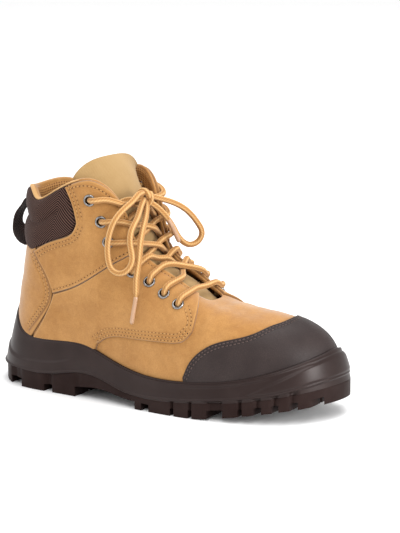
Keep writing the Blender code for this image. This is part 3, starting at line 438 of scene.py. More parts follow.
def lifted(flat, height):
    """Points at x and y with a height."""
    return np.concatenate([flat, np.asarray(height, float)[..., None]], axis=-1)


def full_turn(count):
    """Angles at equal steps round a circle."""
    return 2 * math.pi * np.arange(count) / count


def way_round(side, first, last, count):
    """Shares round the boot, from the toe towards the heel along one side."""
    half = np.linspace(first, last, count)
    return half if side == LATERAL else 1 - half


def ramp(low, high, value):
    """0 at low, 1 at high, and smooth between them."""
    share = np.clip((np.asarray(value, float) - low) / (high - low), 0, 1)
    return share * share * (3 - 2 * share)


def resampled(points, shares):
    """Points at shares of the way along a smooth line through the given points."""
    points = np.asarray(points, float)
    return smooth_curve(along(points), points)(shares)


def crowded(count, first=True, last=True):
    """Shares from 0 to 1 that crowd towards the first end, the last end or both."""
    share = np.linspace(0, 1, count)
    if first and last:
        return 0.5 - 0.5 * np.cos(math.pi * share)
    if first:
        return 1 - np.cos(math.pi / 2 * share)
    return np.sin(math.pi / 2 * share)


def distance_to_line(points, line):
    """The distance from each point to a broken line, in as many dimensions as they have."""
    points = np.asarray(points, float)
    line = np.asarray(line, float)
    nearest = np.full(points.shape[:-1], np.inf)
    for start, end in zip(line[:-1], line[1:]):
        way = end - start
        share = np.clip(((points - start) @ way) / max(way @ way, 1e-9), 0, 1)
        nearest = np.minimum(nearest, np.linalg.norm(points - start - share[..., None] * way, axis=-1))
    return nearest


def relief(points):
    """How far the leather's creases lift a point of the upper."""
    flat = points[..., [0, 2]]
    total = np.zeros(flat.shape[:-1])
    for crease in CREASES:
        line = ((crease.from_x, crease.from_z), (crease.to_x, crease.to_z))
        far = (distance_to_line(flat, line) / crease.width) ** 2
        total -= crease.depth * (1 - CREASE_RIDGE * far) * np.exp(-far)
    return total


class Pattern:
    """The boot's form: the sole's outline and the outer face of the upper, both followed by a share
    of the way round, from the toe tip (0) along the lateral side to the heel (0.5) and back along
    the medial side, and the upper also by a share of the way up, from its bottom edge to its rim."""

    def __init__(self):
        lateral = [(s.lateral_x, s.lateral_y) for s in SECTIONS]
        medial = [(s.medial_x, s.medial_y) for s in SECTIONS]
        shares = np.concatenate([along(lateral) / 2, 1 - along(medial)[-2:0:-1] / 2])
        rows = [(s, LATERAL) for s in SECTIONS] + [(s, MEDIAL) for s in SECTIONS[-2:0:-1]]
        falls = (0,) * len(SECTIONS) + MEDIAL_FALL[-2:0:-1]
        tables = (
            lateral + medial[-2:0:-1],
            [(s.rim_x, side * s.rim_y, s.rim_z) for s, side in rows],
            [(s.lead_x, side * s.lead_y, s.lead_z - fall) for (s, side), fall in zip(rows, falls)],
            [(s.inset, s.swell, s.rise) for s, _ in rows],
            [(s.lip_z, s.lip_out) for s, _ in rows],
        )
        curves = [smooth_curve(shares, table, period=1.0) for table in tables]
        self.plan, self.rim, self.lead, self.wall, self.lip = curves
        heights = np.array(SOLE_HEIGHTS)
        self.heights = smooth_curve(heights[:, 0], heights[:, 1:])
        self.fine = {side: self.fine_grid(side) for side in (LATERAL, MEDIAL)}

    def tray(self, x):
        return self.heights(x)[..., 0]

    def joint(self, x):
        return self.heights(x)[..., 1]

    def root(self, x):
        return self.heights(x)[..., 2]

    def tread(self, x):
        return np.maximum(self.heights(x)[..., 3], 0)

    def inset(self, round_share):
        return self.wall(round_share)[..., 0]

    def lip_z(self, round_share):
        return self.lip(round_share)[..., 0]

    def outwards(self, round_share):
        """The level direction out of the sole's outline."""
        ahead = self.plan(round_share + SLOPE_STEP) - self.plan(round_share - SLOPE_STEP)
        return unit(np.stack([-ahead[..., 1], ahead[..., 0]], axis=-1))

    def outline(self, round_share, inset=0.0):
        """The sole's outline, moved in by the inset, as x and y."""
        return self.plan(round_share) - self.outwards(round_share) * np.asarray(inset)[..., None]

    def upper(self, round_share, up_share):
        """The outer face of the upper: each section is one bow from the sole to the rim."""
        round_share, up_share = np.broadcast_arrays(np.asarray(round_share, float), up_share)
        foot = self.outline(round_share, self.inset(round_share))
        bottom = lifted(foot, self.tray(foot[..., 0]) + GAP)
        _, swell, rise = np.moveaxis(self.wall(round_share), -1, 0)
        low = bottom + lifted(self.outwards(round_share) * swell[..., None], rise)
        rim = self.rim(round_share)
        high = rim + self.lead(round_share)
        v = up_share[..., None]
        w = 1 - v
        return w**3 * bottom + 3 * w * w * v * low + 3 * w * v * v * high + v**3 * rim

    def at(self, shares):
        """The outer face of the upper at rows of shares round and up."""
        return self.upper(shares[:, 0], shares[:, 1])

    def normal(self, round_share, up_share):
        """The direction out of the upper's outer face."""
        low = np.clip(up_share - SLOPE_STEP, 0, 1)
        high = np.clip(up_share + SLOPE_STEP, 0, 1)
        up = self.upper(round_share, high) - self.upper(round_share, low)
        ahead = self.upper(round_share + SLOPE_STEP, up_share)
        ahead = ahead - self.upper(round_share - SLOPE_STEP, up_share)
        return unit(np.cross(up, ahead))

    def off(self, round_share, up_share, distance):
        """A point at a distance out of the upper's outer face."""
        distance = np.asarray(distance, float)[..., None]
        return self.upper(round_share, up_share) + distance * self.normal(round_share, up_share)

    def fine_grid(self, side):
        """Points of one side of the upper, to start a search from."""
        around = way_round(side, 0.002, 0.498, 160)
        round_share, up_share = np.meshgrid(around, np.linspace(0, 1, 80), indexing="ij")
        return round_share, up_share, self.upper(round_share, up_share)

    def shares_at(self, points, side):
        """The shares round and up of the points of the upper that side view shows at x and z."""
        round_share, up_share, found = self.fine[side]
        flat = found[..., [0, 2]].reshape(-1, 2)
        targets = np.asarray(points, float)
        best = np.array([np.argmin(((flat - target) ** 2).sum(1)) for target in targets])
        place = np.stack([round_share.ravel()[best], up_share.ravel()[best]], axis=1)
        for _ in range(12):
            here = self.at(place)[:, [0, 2]]
            ahead = (self.at(place + (SLOPE_STEP, 0))[:, [0, 2]] - here) / SLOPE_STEP
            up = (here - self.at(place - (0, SLOPE_STEP))[:, [0, 2]]) / SLOPE_STEP
            place = place + nearer(ahead, up, targets - here, 1e-3)
            place[:, 1] = np.clip(place[:, 1], 0.0, RIM_SHARE)
        return place

    def shares_near(self, shares, goal):
        """Shares round and up that bring points of the upper to their goals, from shares close by."""
        for _ in range(8):
            here = self.at(shares)
            ahead = (self.at(shares + (SLOPE_STEP, 0)) - here) / SLOPE_STEP
            up = (self.at(shares + (0, SLOPE_STEP)) - here) / SLOPE_STEP
            shares = shares + nearer(ahead, up, goal - here, 1e-6)
        return shares

    def up_to(self, round_share, height):
        """The share up at which the upper's face reaches a height."""
        low, high = np.zeros_like(round_share), np.ones_like(round_share)
        for _ in range(30):
            middle = (low + high) / 2
            below = self.upper(round_share, middle)[..., 2] < height
            low, high = np.where(below, middle, low), np.where(below, high, middle)
        return (low + high) / 2

    def under_lip(self, round_share):
        """The share up at which a piece of the upper ends, hidden behind the midsole's lip."""
        return self.up_to(round_share, self.lip_z(round_share) - UNDER_LIP)


def nearer(ahead, up, move, tolerance):
    """The small change of shares round and up that gives a move, from the slopes in both."""
    inverse = np.linalg.pinv(np.stack([ahead, up], axis=2), rcond=tolerance)
    return np.clip(np.einsum("nij,nj->ni", inverse, move), -0.02, 0.02)


def in_metres(points):
    """Pattern points in millimetres as places in the boot's own frame."""
    return (np.asarray(points, float) - (0, SIDE_SHIFT, 0)) * MM


class Look:
    """A material of shader nodes."""

    def __init__(self, name, roughness, **constants):
        self.made = bpy.data.materials.new(name)
        self.made.use_nodes = True
        self.nodes = self.made.node_tree.nodes
        self.links = self.made.node_tree.links
        self.shader = self.nodes["Principled BSDF"]
        self.shader.inputs["Roughness"].default_value = roughness
        for socket, value in constants.items():
            self.shader.inputs[socket.replace("_", " ")].default_value = value

    def put(self, socket, value):
        if isinstance(value, bpy.types.NodeSocket):
            self.links.new(value, socket)
        else:
            socket.default_value = value

    def add(self, kind, inputs=None, **settings):
        node = self.nodes.new("ShaderNode" + kind)
        for name, value in settings.items():
            setattr(node, name, value)
        for name, value in (inputs or {}).items():
            self.put(node.inputs[name], value)
        return node

    def coordinates(self):
        return self.add("TexCoord").outputs["Object"]

    def cloth(self):
        """Millimetres along and across a cloth, from its own map."""
        split = self.add("SeparateXYZ", {0: self.add("UVMap", uv_map="cloth").outputs["UV"]})
        return split.outputs["X"], split.outputs["Y"]

    def noise(self, scale, detail=3.0, distortion=0.0):
        inputs = {"Vector": self.coordinates(), "Scale": scale, "Detail": detail, "Distortion": distortion}
        return self.add("TexNoise", inputs).outputs["Fac"]

    def cells(self, scale):
        inputs = {"Vector": self.coordinates(), "Scale": scale, "Randomness": 0.9}
        return self.add("TexVoronoi", inputs, feature="DISTANCE_TO_EDGE").outputs["Distance"]

    def math(self, operation, first, second=0.0):
        return self.add("Math", {0: first, 1: second}, operation=operation).outputs[0]

    def wave(self, value, pitch):
        """A wave from -1 to 1 that comes back at each pitch."""
        return self.math("SINE", self.math("MULTIPLY", value, 2 * math.pi / pitch))

    def stretch(self, value, low, high, to_low=0.0, to_high=1.0):
        inputs = {"Value": value, "From Min": low, "From Max": high, "To Min": to_low, "To Max": to_high}
        return self.add("MapRange", inputs).outputs["Result"]

    def mix(self, share, first, second, blend="MIX"):
        node = self.add("Mix", data_type="RGBA", blend_type=blend)
        for index, value in ((0, share), (6, first), (7, second)):
            self.put(node.inputs[index], value)
        return node.outputs[2]

    def marked(self, colour, mark, share, other):
        """A colour that turns by a share into another where the mesh carries a mark."""
        there = self.add("Attribute", attribute_name=mark).outputs["Fac"]
        return self.mix(self.math("MULTIPLY", there, share), colour, other)

    def speckled(self, colour, value):
        """A colour times a value."""
        grey = self.add("CombineColor", {0: value, 1: value, 2: value}).outputs[0]
        return self.mix(1.0, colour, grey, "MULTIPLY")

    def bump(self, height, strength, depth_mm, under=None):
        inputs = {"Height": height, "Strength": strength, "Distance": depth_mm * MM}
        if under is not None:
            inputs["Normal"] = under
        return self.add("Bump", inputs).outputs["Normal"]

    def finish(self, colour, roughness=None, normal=None):
        for socket, value in (("Base Color", colour), ("Roughness", roughness), ("Normal", normal)):
            if value is not None:
                self.put(self.shader.inputs[socket], value)
        return self.made


# Colours of the materials: dark, then pale, and those of worn and hidden places, some of them painted
# shade: the cut edges' dark band in part, and the needle holes.
NUBUCK = ((0.305, 0.142, 0.040, 1), (0.400, 0.204, 0.066, 1))
NUBUCK_SCUFF = (0.54, 0.34, 0.15, 1)
# The cut mark is a cut edge's own dark colour together with painted shade under the edge, and painted
# shade lines where another piece lies over the leather.
NUBUCK_MARKS = (
    ("edge", 0.3, (0.50, 0.28, 0.10, 1)),
    ("seam", 0.3, (0.20, 0.085, 0.022, 1)),
    ("cut", 0.7, (0.12, 0.048, 0.014, 1)),
)
CAP = ((0.0215, 0.0132, 0.0124, 1), (0.031, 0.0205, 0.019, 1))
CAP_GROOVE = (0.018, 0.012, 0.011, 1)
CAP_SEAM = (0.012, 0.008, 0.008, 1)
RUBBER = ((0.0115, 0.0058, 0.005, 1), (0.0172, 0.0100, 0.0088, 1))
RUBBER_SHINE = (1.0, 0.72, 0.68, 1)
CUFF = ((0.006, 0.003, 0.0025, 1), (0.118, 0.060, 0.045, 1))
WEBBING = ((0.016, 0.009, 0.008, 1), (0.070, 0.045, 0.038, 1))
TONGUE_CLOTH = ((0.268, 0.162, 0.061, 1), (0.362, 0.238, 0.109, 1))
BINDING = ((0.42, 0.23, 0.085, 1), (0.58, 0.35, 0.15, 1))
INSOLE = ((0.24, 0.12, 0.04, 1), (0.42, 0.23, 0.08, 1))
LINING, LINING_HOLE = (0.36, 0.18, 0.06, 1), (0.13, 0.055, 0.018, 1)
LACE = ((0.44, 0.225, 0.075, 1), (0.60, 0.385, 0.17, 1))
LACE_FURROW = (0.22, 0.092, 0.026, 1)
STEEL = ((0.11, 0.105, 0.105, 1), (0.34, 0.33, 0.325, 1))
TAN_THREAD = ((0.36, 0.180, 0.056, 1), (0.46, 0.255, 0.092, 1))
BROWN_THREAD = ((0.045, 0.028, 0.024, 1), (0.095, 0.062, 0.054, 1))
# Painted shade in the needle holes, on tan and on brown leather.
TAN_HOLE_SHADE, BROWN_HOLE_SHADE = (0.07, 0.028, 0.009, 1), (0.012, 0.008, 0.008, 1)
AGLET = (0.38, 0.22, 0.125, 1)
FLOOR = (0.93, 0.93, 0.93, 1)


def nubuck_look():
    """Brushed wheat leather: cloudy colour, a fine nap, pale worn edges, dark seams, and cut edges dark
    by their own colour and by painted shade, with painted shade lines under pieces that lie over it.
    """
    look = Look("nubuck", 0.9, Sheen_Weight=0.35, Sheen_Roughness=0.45, Specular_IOR_Level=0.15)
    clouds = look.stretch(look.noise(28, 4), 0.36, 0.64, 0.0, 0.6)
    brushed = look.stretch(look.noise(170, 5, 0.6), 0.35, 0.65)
    colour = look.mix(look.math("ADD", clouds, look.math("MULTIPLY", brushed, 0.4)), *NUBUCK)
    colour = look.speckled(colour, look.stretch(look.noise(1100, 2), 0.3, 0.7, 0.9, 1.08))
    scuffs = look.stretch(look.noise(60, 6, 1.5), 0.68, 0.78, 0.0, 0.2)
    colour = look.mix(scuffs, colour, NUBUCK_SCUFF)
    for mark, share, other in NUBUCK_MARKS:
        colour = look.marked(colour, mark, share, other)
    nap = look.bump(look.noise(1600, 3), 0.35, 0.25)
    normal = look.bump(brushed, 0.25, 0.35, nap)
    return look.finish(colour, look.stretch(brushed, 0, 1, 0.82, 0.97), normal)


def grained_look():
    """Dark coated leather of the toe cap: fine pebble grain with a satin shine."""
    look = Look("toe_cap_leather", 0.5, Specular_IOR_Level=0.2)
    pebbles = look.stretch(look.cells(700), 0.0, 0.28)
    colour = look.mix(look.stretch(look.noise(60, 4), 0.35, 0.65), *CAP)
    colour = look.mix(look.stretch(pebbles, 0, 1, 0.45, 1), CAP_GROOVE, colour)
    colour = look.marked(colour, "seam", 0.4, CAP_SEAM)
    return look.finish(colour, look.stretch(pebbles, 0, 1, 0.56, 0.40), look.bump(pebbles, 0.35, 0.16))


def rubber_look(name, roughness, shine):
    """Moulded dark brown rubber with a fine mould texture and dusty patches."""
    shines = {"Specular_IOR_Level": 0.13, "Specular_Tint": RUBBER_SHINE}
    look = Look(name, roughness, Coat_Weight=shine, Coat_Roughness=0.3, **shines)
    clouds = look.stretch(look.noise(45, 5), 0.35, 0.7)
    fine = look.bump(look.noise(1500, 2), 0.2, 0.12)
    patches = look.stretch(clouds, 0, 1, roughness + 0.06, roughness - 0.06)
    return look.finish(look.mix(clouds, *RUBBER), patches, fine)


TWILL_THREAD = 2 * math.pi / 7
LINING_MESH = 4.2


def twill_look(name, colours, pitch, turn_every):
    """Herringbone cloth: slanted ribs that change direction from stripe to stripe."""
    look = Look(name, 0.8, Sheen_Weight=0.03, Specular_IOR_Level=0.12)
    u, v = look.cloth()
    slant = look.math("SUBTRACT", v, look.math("PINGPONG", u, turn_every))
    rib = look.stretch(look.wave(slant, pitch), -0.15, 0.9)
    threads = look.stretch(look.wave(look.math("SUBTRACT", v, u), TWILL_THREAD), -1, 1, 0.8, 1.0)
    colour = look.mix(look.math("MULTIPLY", rib, threads), *colours)
    return look.finish(colour, look.stretch(rib, 0, 1, 0.9, 0.7), look.bump(rib, 0.5, 0.35))


def weave_look(name, colours, pitch):
    """Plain woven cloth: over and under threads in both directions."""
    look = Look(name, 0.92, Sheen_Weight=0.1, Specular_IOR_Level=0.2)
    u, v = look.cloth()
    knot = look.stretch(look.math("MULTIPLY", look.wave(u, pitch), look.wave(v, pitch)), -1, 1)
    clouds = look.stretch(look.noise(50, 4), 0.3, 0.7, 0.0, 0.5)
    colour = look.mix(look.math("ADD", look.math("MULTIPLY", knot, 0.5), clouds), *colours)
    return look.finish(colour, None, look.bump(knot, 0.4, 0.3))


def mesh_lining_look():
    """Spacer mesh of the lining: small diamond openings."""
    look = Look("lining_mesh", 0.9, Specular_IOR_Level=0.2)
    u, v = look.cloth()
    slants = [look.wave(look.math(way, u, v), LINING_MESH) for way in ("ADD", "SUBTRACT")]
    hole = look.stretch(look.math("MULTIPLY", *slants), -0.1, 0.55)
    return look.finish(look.mix(hole, LINING, LINING_HOLE), None, look.bump(hole, -0.6, 0.6))


def lace_look():
    """Round braid: pale stripes along it between darker furrows, over a fine crossing weave."""
    look = Look("lace_braid", 0.85, Sheen_Weight=0.1, Specular_IOR_Level=0.2)
    u, v = look.cloth()
    turns = look.math("MULTIPLY", v, 2 * math.pi * LACE_TURNS)
    way = look.math("MULTIPLY", u, 2 * math.pi / LACE_WEAVE)
    rib = look.wave(v, 1 / LACE_STRIPES)
    pale = look.stretch(rib, 0.25, 0.95, 0.0, 0.65)
    furrow = look.stretch(rib, -0.95, -0.35, 0.5, 0.0)
    weave = look.stretch(look.math("SINE", look.math("ADD", way, turns)), -1, 1, 0.84, 1.08)
    colour = look.mix(furrow, look.mix(pale, *LACE), LACE_FURROW)
    normal = look.bump(weave, 0.4, 0.3, look.bump(rib, 0.5, 0.4))
    return look.finish(look.speckled(colour, weave), None, normal)


def metal_look():
    """Polished steel of the eyelets, with faint smudges."""
    look = Look("eyelet_steel", 0.22, Metallic=1.0)
    smudge = look.stretch(look.noise(400, 3), 0.3, 0.7)
    return look.finish(look.mix(smudge, *STEEL), look.stretch(smudge, 0, 1, 0.30, 0.16))


def thread_look(name, colours):
    look = Look(name, 0.7, Specular_IOR_Level=0.3)
    return look.finish(look.mix(look.stretch(look.noise(900, 2), 0.35, 0.65), *colours))


def plain_look(name, colour, roughness, spread=0.15, **constants):
    """A near plain material with a little cloudiness."""
    look = Look(name, roughness, **constants)
    pale = tuple(min(1, c * (1 + spread)) for c in colour[:3]) + (1,)
    dark = tuple(c * (1 - spread) for c in colour[:3]) + (1,)
    return look.finish(look.mix(look.noise(120, 3), dark, pale))


def mesh_object(name, points, faces, look, cloth=None, marks=None, corner_cloth=None, sharp=None):
    """A mesh object of points in millimetres with its faces turned outwards. Cloth gives each point,
    or each face corner, its place on the cloth in millimetres; marks are numbers for the material."""
    mesh = bpy.data.meshes.new(name)
    mesh.from_pydata(in_metres(points).tolist(), [], [tuple(int(k) for k in face) for face in faces])
    if cloth is not None:
        index = np.empty(len(mesh.loops), np.int64)
        mesh.loops.foreach_get("vertex_index", index)
        corner_cloth = np.asarray(cloth, float)[index]
    if corner_cloth is not None:
        layer = mesh.uv_layers.new(name="cloth")
        layer.data.foreach_set("uv", np.asarray(corner_cloth, np.float32).ravel())
    for label, values in (marks or {}).items():
        attribute = mesh.attributes.new(label, "FLOAT", "POINT")
        attribute.data.foreach_set("value", np.asarray(values, np.float32).ravel())
    made = bmesh.new()
    made.from_mesh(mesh)
    bmesh.ops.recalc_face_normals(made, faces=made.faces)
    made.to_mesh(mesh)
    made.free()
    mesh.materials.append(look)
    mesh.shade_smooth()
    if sharp is not None:
        mesh.set_sharp_from_angle(angle=math.radians(sharp))
    obj = bpy.data.objects.new(name, mesh)
    bpy.context.scene.collection.objects.link(obj)
    return obj


def dress(obj, slot, *nodes):
    """Puts a piece on the boot in place of the solids that it stands for."""
    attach(obj, "root")
    if nodes:
        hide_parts(*nodes)
    return obj


def ladder(count, first):
    """Faces that close a ring from its lateral side across to its medial side."""
    half = count // 2
    faces = [(first, first + 1, first + count - 1)]
    for k in range(1, half - 1):
        faces.append((first + k, first + k + 1, first + count - k - 1, first + count - k))
    faces.append((first + half - 1, first + half, first + half + 1))
    return faces


def tube_faces(rings, count, joined=False):
    """Faces from each ring of points to the next, and from the last to the first where joined."""
    faces = []
    for low in range(rings if joined else rings - 1):
        high = (low + 1) % rings
        for k in range(count):
            ahead = (k + 1) % count
            faces.append((low * count + k, low * count + ahead, high * count + ahead, high * count + k))
    return faces


def cup_faces(rings, count):
    """Faces of rings round the boot, closed across the first ring and the last."""
    return tube_faces(rings, count) + ladder(count, 0) + ladder(count, (rings - 1) * count)


def end_caps(rings, count):
    """Faces that close the two ends of a tube."""
    return [tuple(first + k for k in range(count)) for first in (0, (rings - 1) * count)]


def sheet_faces(rows, columns):
    """Faces of a solid between two grids of the same size."""
    back = rows * columns
    faces = []
    for i in range(rows - 1):
        for j in range(columns - 1):
            cell = (i * columns + j, (i + 1) * columns + j, (i + 1) * columns + j + 1, i * columns + j + 1)
            faces += [cell, tuple(back + k for k in reversed(cell))]
    edge = [i * columns for i in range(rows)] + [(rows - 1) * columns + j for j in range(1, columns)]
    edge += [i * columns + columns - 1 for i in range(rows - 2, -1, -1)]
    edge += list(range(columns - 2, 0, -1))
    for here, ahead in zip(edge, edge[1:] + edge[:1]):
        faces.append((here, ahead, back + ahead, back + here))
    return faces


def closed_border(grid):
    """The points round the edge of a grid, and the first of them again."""
    return np.concatenate([grid[:, 0], grid[-1, 1:], grid[-2::-1, -1], grid[0, -2::-1]])


def sheet_piece(name, outer, inner, look, cloth=None, marks=None):
    points = np.concatenate([outer.reshape(-1, 3), inner.reshape(-1, 3)])
    doubled = {label: np.concatenate([v.ravel(), v.ravel()]) for label, v in (marks or {}).items()}
    if cloth is not None:
        cloth = np.concatenate([cloth.reshape(-1, 2)] * 2)
    return mesh_object(name, points, sheet_faces(*outer.shape[:2]), look, cloth, doubled)


def cloth_map(grid):
    """Millimetres along and across a grid of points, for its weave."""
    sideways = np.linalg.norm(np.diff(grid, axis=1), axis=2)
    upwards = np.linalg.norm(np.diff(grid, axis=0), axis=2)
    u = np.concatenate([np.zeros((len(grid), 1)), np.cumsum(sideways, axis=1)], axis=1)
    v = np.concatenate([np.zeros((1, grid.shape[1])), np.cumsum(upwards, axis=0)])
    u = u - u[:, grid.shape[1] // 2, None]
    return np.stack([u, v], axis=-1)


def strip(edge_a, edge_b, share, bow_first=0.0, bow_last=0.0):
    """Shares round and up between two edges of the same count, as a grid. Its first and last lines
    can be bowed round the boot."""
    share = share[:, None]
    sideways = along(edge_a + edge_b)[None]
    around = (1 - share) * edge_a[None, :, 0] + share * edge_b[None, :, 0]
    up = (1 - share) * edge_a[None, :, 1] + share * edge_b[None, :, 1]
    bow = 4 * share * (1 - share)
    return around + bow * (bow_first * (1 - sideways) ** 6 + bow_last * sideways**6), up


def shifted(points, shift):
    """A line in side view moved to its left by a distance."""
    ahead = unit(np.gradient(points, axis=0))
    return points + shift * np.stack([-ahead[:, 1], ahead[:, 0]], axis=1)


def side_edge(pattern, points, side, shares, shift=0.0):
    """The shares round and up along an edge that is drawn in side view."""
    return pattern.shares_at(shifted(resampled(points, shares), shift), side)


# How a piece of leather lies on the upper: its rim's height, how deep its underside goes, and the depth
# and half width of the trough at a seam, of the dark band at a cut edge (its own colour and painted shade)
# and of a painted shade line.
OVERLAY_RIM, OVERLAY_UNDER = 0.3, 0.6
SEAM_DEPTH, SEAM_HALF_WIDTH = 0.45, 0.9
CUT_HALF_WIDTH, SHADED_HALF_WIDTH = 0.5, 0.8
WORN_REACH = 1.8


def near_lines(face, lines, half_width):
    """1 on any of the lines, falling to 0 beside them."""
    near = np.zeros(face.shape[:-1])
    for line in lines:
        near = np.maximum(near, np.exp(-((distance_to_line(face, line) / half_width) ** 2)))
    return near


def rounded_hem(far, hem):
    """A quarter round: 0 at the edge and 1 from the hem inwards."""
    return np.sqrt(1 - (1 - np.clip(far / hem, 0, 1)) ** 2)


def overlay(name, pattern, shares, look, top, seams, shaded=()):
    """A piece of leather that lies on the upper, with rounded edges, a trough at each seam, a dark band at
    its cut edges that is their own colour and painted shade, and painted shade lines where another piece
    lies over it."""
    face = pattern.upper(*shares)
    normal = pattern.normal(*shares)
    far = distance_to_line(face, closed_border(face))
    seam = near_lines(face, seams, SEAM_HALF_WIDTH)
    lift = OVERLAY_RIM + (top - OVERLAY_RIM) * rounded_hem(far, EDGE_ROUND)
    lift = lift - SEAM_DEPTH * seam + relief(face)
    outer = face + normal * lift[..., None]
    inner = face + normal * (relief(face) - OVERLAY_UNDER)[..., None]
    # The dark band at the cut edges is partly their own colour and partly painted shade under the edge;
    # the shaded lines are painted shade where another piece lies over this one.
    cut_edge_and_shade = np.exp(-((far / CUT_HALF_WIDTH) ** 2))
    cut_edge_and_shade = np.maximum(cut_edge_and_shade, near_lines(face, shaded, SHADED_HALF_WIDTH))
    marks = {"edge": np.clip(WORN_REACH - far / EDGE_ROUND, 0, 1), "seam": seam, "cut": cut_edge_and_shade}
    return sheet_piece(name, outer, inner, look, None, marks)


class Many:
    """Many small closed shapes in one mesh."""

    def __init__(self):
        self.points, self.faces, self.count = [], [], 0

    def add(self, points, faces):
        self.points.append(np.asarray(points, float))
        self.faces += [tuple(self.count + k for k in face) for face in faces]
        self.count += len(points)

    def piece(self, name, look, **details):
        return mesh_object(name, np.concatenate(self.points), self.faces, look, **details)


# A stitch's rings, as shares of its length and of its width, and how it and the painted shade disc of
# its needle hole lie.
STITCH_PITCH, STITCH_LENGTH, STITCH_RADIUS = 3.3, 2.5, 0.42
STITCH_RINGS = ((-0.5, 0.25), (-0.32, 0.85), (0.0, 1.0), (0.32, 0.85), (0.5, 0.25))
STITCH_SIDES, STITCH_BREADTH, STITCH_HEIGHT = 6, 1.15, 0.9
STITCH_LIFT, STITCH_DIP = 0.12, 0.5
HOLE_RADIUS, HOLE_SIDES = 0.72, 8
HOLE_LIFT, HOLE_EDGE, HOLE_DEPTH = 0.14, 0.05, 0.4
SEAM_SINK = 0.4


def stitch(spot, way, out, side):
    """Points and faces of one stitch: a short thread that dips into the leather at both ends."""
    points = []
    for share, width in STITCH_RINGS:
        centre = spot + way * share * STITCH_LENGTH + out * (STITCH_LIFT - STITCH_DIP * abs(share))
        for angle in full_turn(STITCH_SIDES):
            turn = side * math.cos(angle) * STITCH_BREADTH + out * math.sin(angle) * STITCH_HEIGHT
            points.append(centre + STITCH_RADIUS * width * turn)
    size = (len(STITCH_RINGS), STITCH_SIDES)
    return points, tube_faces(*size) + end_caps(*size)


def needle_hole_shade(place, way, out, side):
    """Points and faces of a dark disc of painted shade where a needle went in."""
    points = []
    for angle in full_turn(HOLE_SIDES):
        reach = side * math.cos(angle) + way * math.sin(angle)
        points.append(place + HOLE_RADIUS * reach - out * HOLE_EDGE)
    pairs = [(k, (k + 1) % HOLE_SIDES) for k in range(HOLE_SIDES)]
    faces = [(a, b, HOLE_SIDES) for a, b in pairs] + [(b, a, HOLE_SIDES + 1) for a, b in pairs]
    return points + [place + out * HOLE_LIFT, place - out * HOLE_DEPTH], faces


def stitch_row(threads, holes, places, normals):
    """One row of stitches along a line on the leather, with a painted shade disc for a needle hole before
    each.
    """
    shares = along(places)
    count = max(2, int(round(length_of(places) / STITCH_PITCH)))
    middles = (np.arange(count) + 0.5) / count
    line = smooth_curve(shares, places)
    spots = line(middles)
    ways = unit(line(np.clip(middles + 0.004, 0, 1)) - spots)
    outs = unit(smooth_curve(shares, normals)(middles))
    for spot, way, out in zip(spots, ways, outs):
        side = np.cross(out, way)
        threads.add(*stitch(spot, way, out, side))
        # Each needle hole is a dark disc of painted shade.
        holes.add(*needle_hole_shade(spot - way * STITCH_PITCH / 2, way, out, side))


def sew(pattern, shares, top, sewing):
    """Sews a row along shares round and up of the upper, on leather of a thickness, and gives its
    places. Sewing is the threads and the painted shade discs of the needle holes."""
    face = pattern.at(shares)
    normal = pattern.normal(shares[:, 0], shares[:, 1])
    lift = top - SEAM_SINK + relief(face)
    stitch_row(*sewing, face + normal * lift[:, None], normal)
    return face


UPPER_COUNT, UPPER_LEVELS, RIM_ROLL = 360, 54, 1.1
LINING_COUNT, LINING_LEVELS = 300, (0.02, 0.985, 40)
LINING_ROUND, LINING_UP = 720, 150
LINING_OVERLAP, LINING_DEPTH = 0.3, 0.5
# Where the collar's padding starts and is full, in x and in z, and how it thins towards the rim.
PADDING_X, PADDING_Z = (-55, -82), (105, 140)
PADDING_RIM, PADDING_RIM_LOSS = (0.93, 1), 0.6


def make_upper(pattern, look):
    """The leather shell of the upper, with a rolled rim."""
    around = np.arange(UPPER_COUNT) / UPPER_COUNT
    outer, inner = [], []
    for level in np.linspace(0, 1, UPPER_LEVELS):
        face = pattern.upper(around, level)
        normal = pattern.normal(around, level)
        outer.append(face + normal * relief(face)[:, None])
        inner.append(face - normal * wall(face, level)[:, None])
    roll = (outer[-1] + inner[-1]) / 2 + (0, 0, RIM_ROLL)
    rings = outer + [roll] + inner[::-1]
    faces = tube_faces(len(rings), UPPER_COUNT, joined=True)
    return mesh_object("upper_leather", np.concatenate(rings), faces, look)


def wall(face, level):
    """The upper's thickness, with the collar's padding."""
    padded = ramp(*PADDING_X, face[:, 0]) * ramp(*PADDING_Z, face[:, 2])
    return LEATHER + COLLAR_PADDING * padded * (1 - PADDING_RIM_LOSS * ramp(*PADDING_RIM, level))


def make_lining(pattern, look):
    """The mesh lining inside the upper."""
    around = np.arange(LINING_COUNT) / LINING_COUNT
    near, far, cloth = [], [], []
    for level in np.linspace(*LINING_LEVELS):
        face = pattern.upper(around, level)
        normal = pattern.normal(around, level)
        near.append(face - normal * (wall(face, level) - LINING_OVERLAP)[:, None])
        far.append(face - normal * (wall(face, level) + LINING_DEPTH)[:, None])
        cloth.append(np.stack([LINING_ROUND * around, np.full(LINING_COUNT, LINING_UP * level)], axis=1))
    rings = near + far[::-1]
    cloth = np.concatenate(cloth + cloth[::-1])
    faces = tube_faces(len(rings), LINING_COUNT, joined=True)
    return mesh_object("upper_lining", np.concatenate(rings), faces, look, cloth)


def cut(obj, tool):
    """Takes a tool's shape out of a piece."""
    modifier = obj.modifiers.new("cut", "BOOLEAN")
    modifier.operation = "DIFFERENCE"
    modifier.solver = "EXACT"
    modifier.object = tool
    graph = bpy.context.evaluated_depsgraph_get()
    mesh = bpy.data.meshes.new_from_object(obj.evaluated_get(graph))
    obj.modifiers.clear()
    old, obj.data = obj.data, mesh
    bpy.data.meshes.remove(old)
    return obj


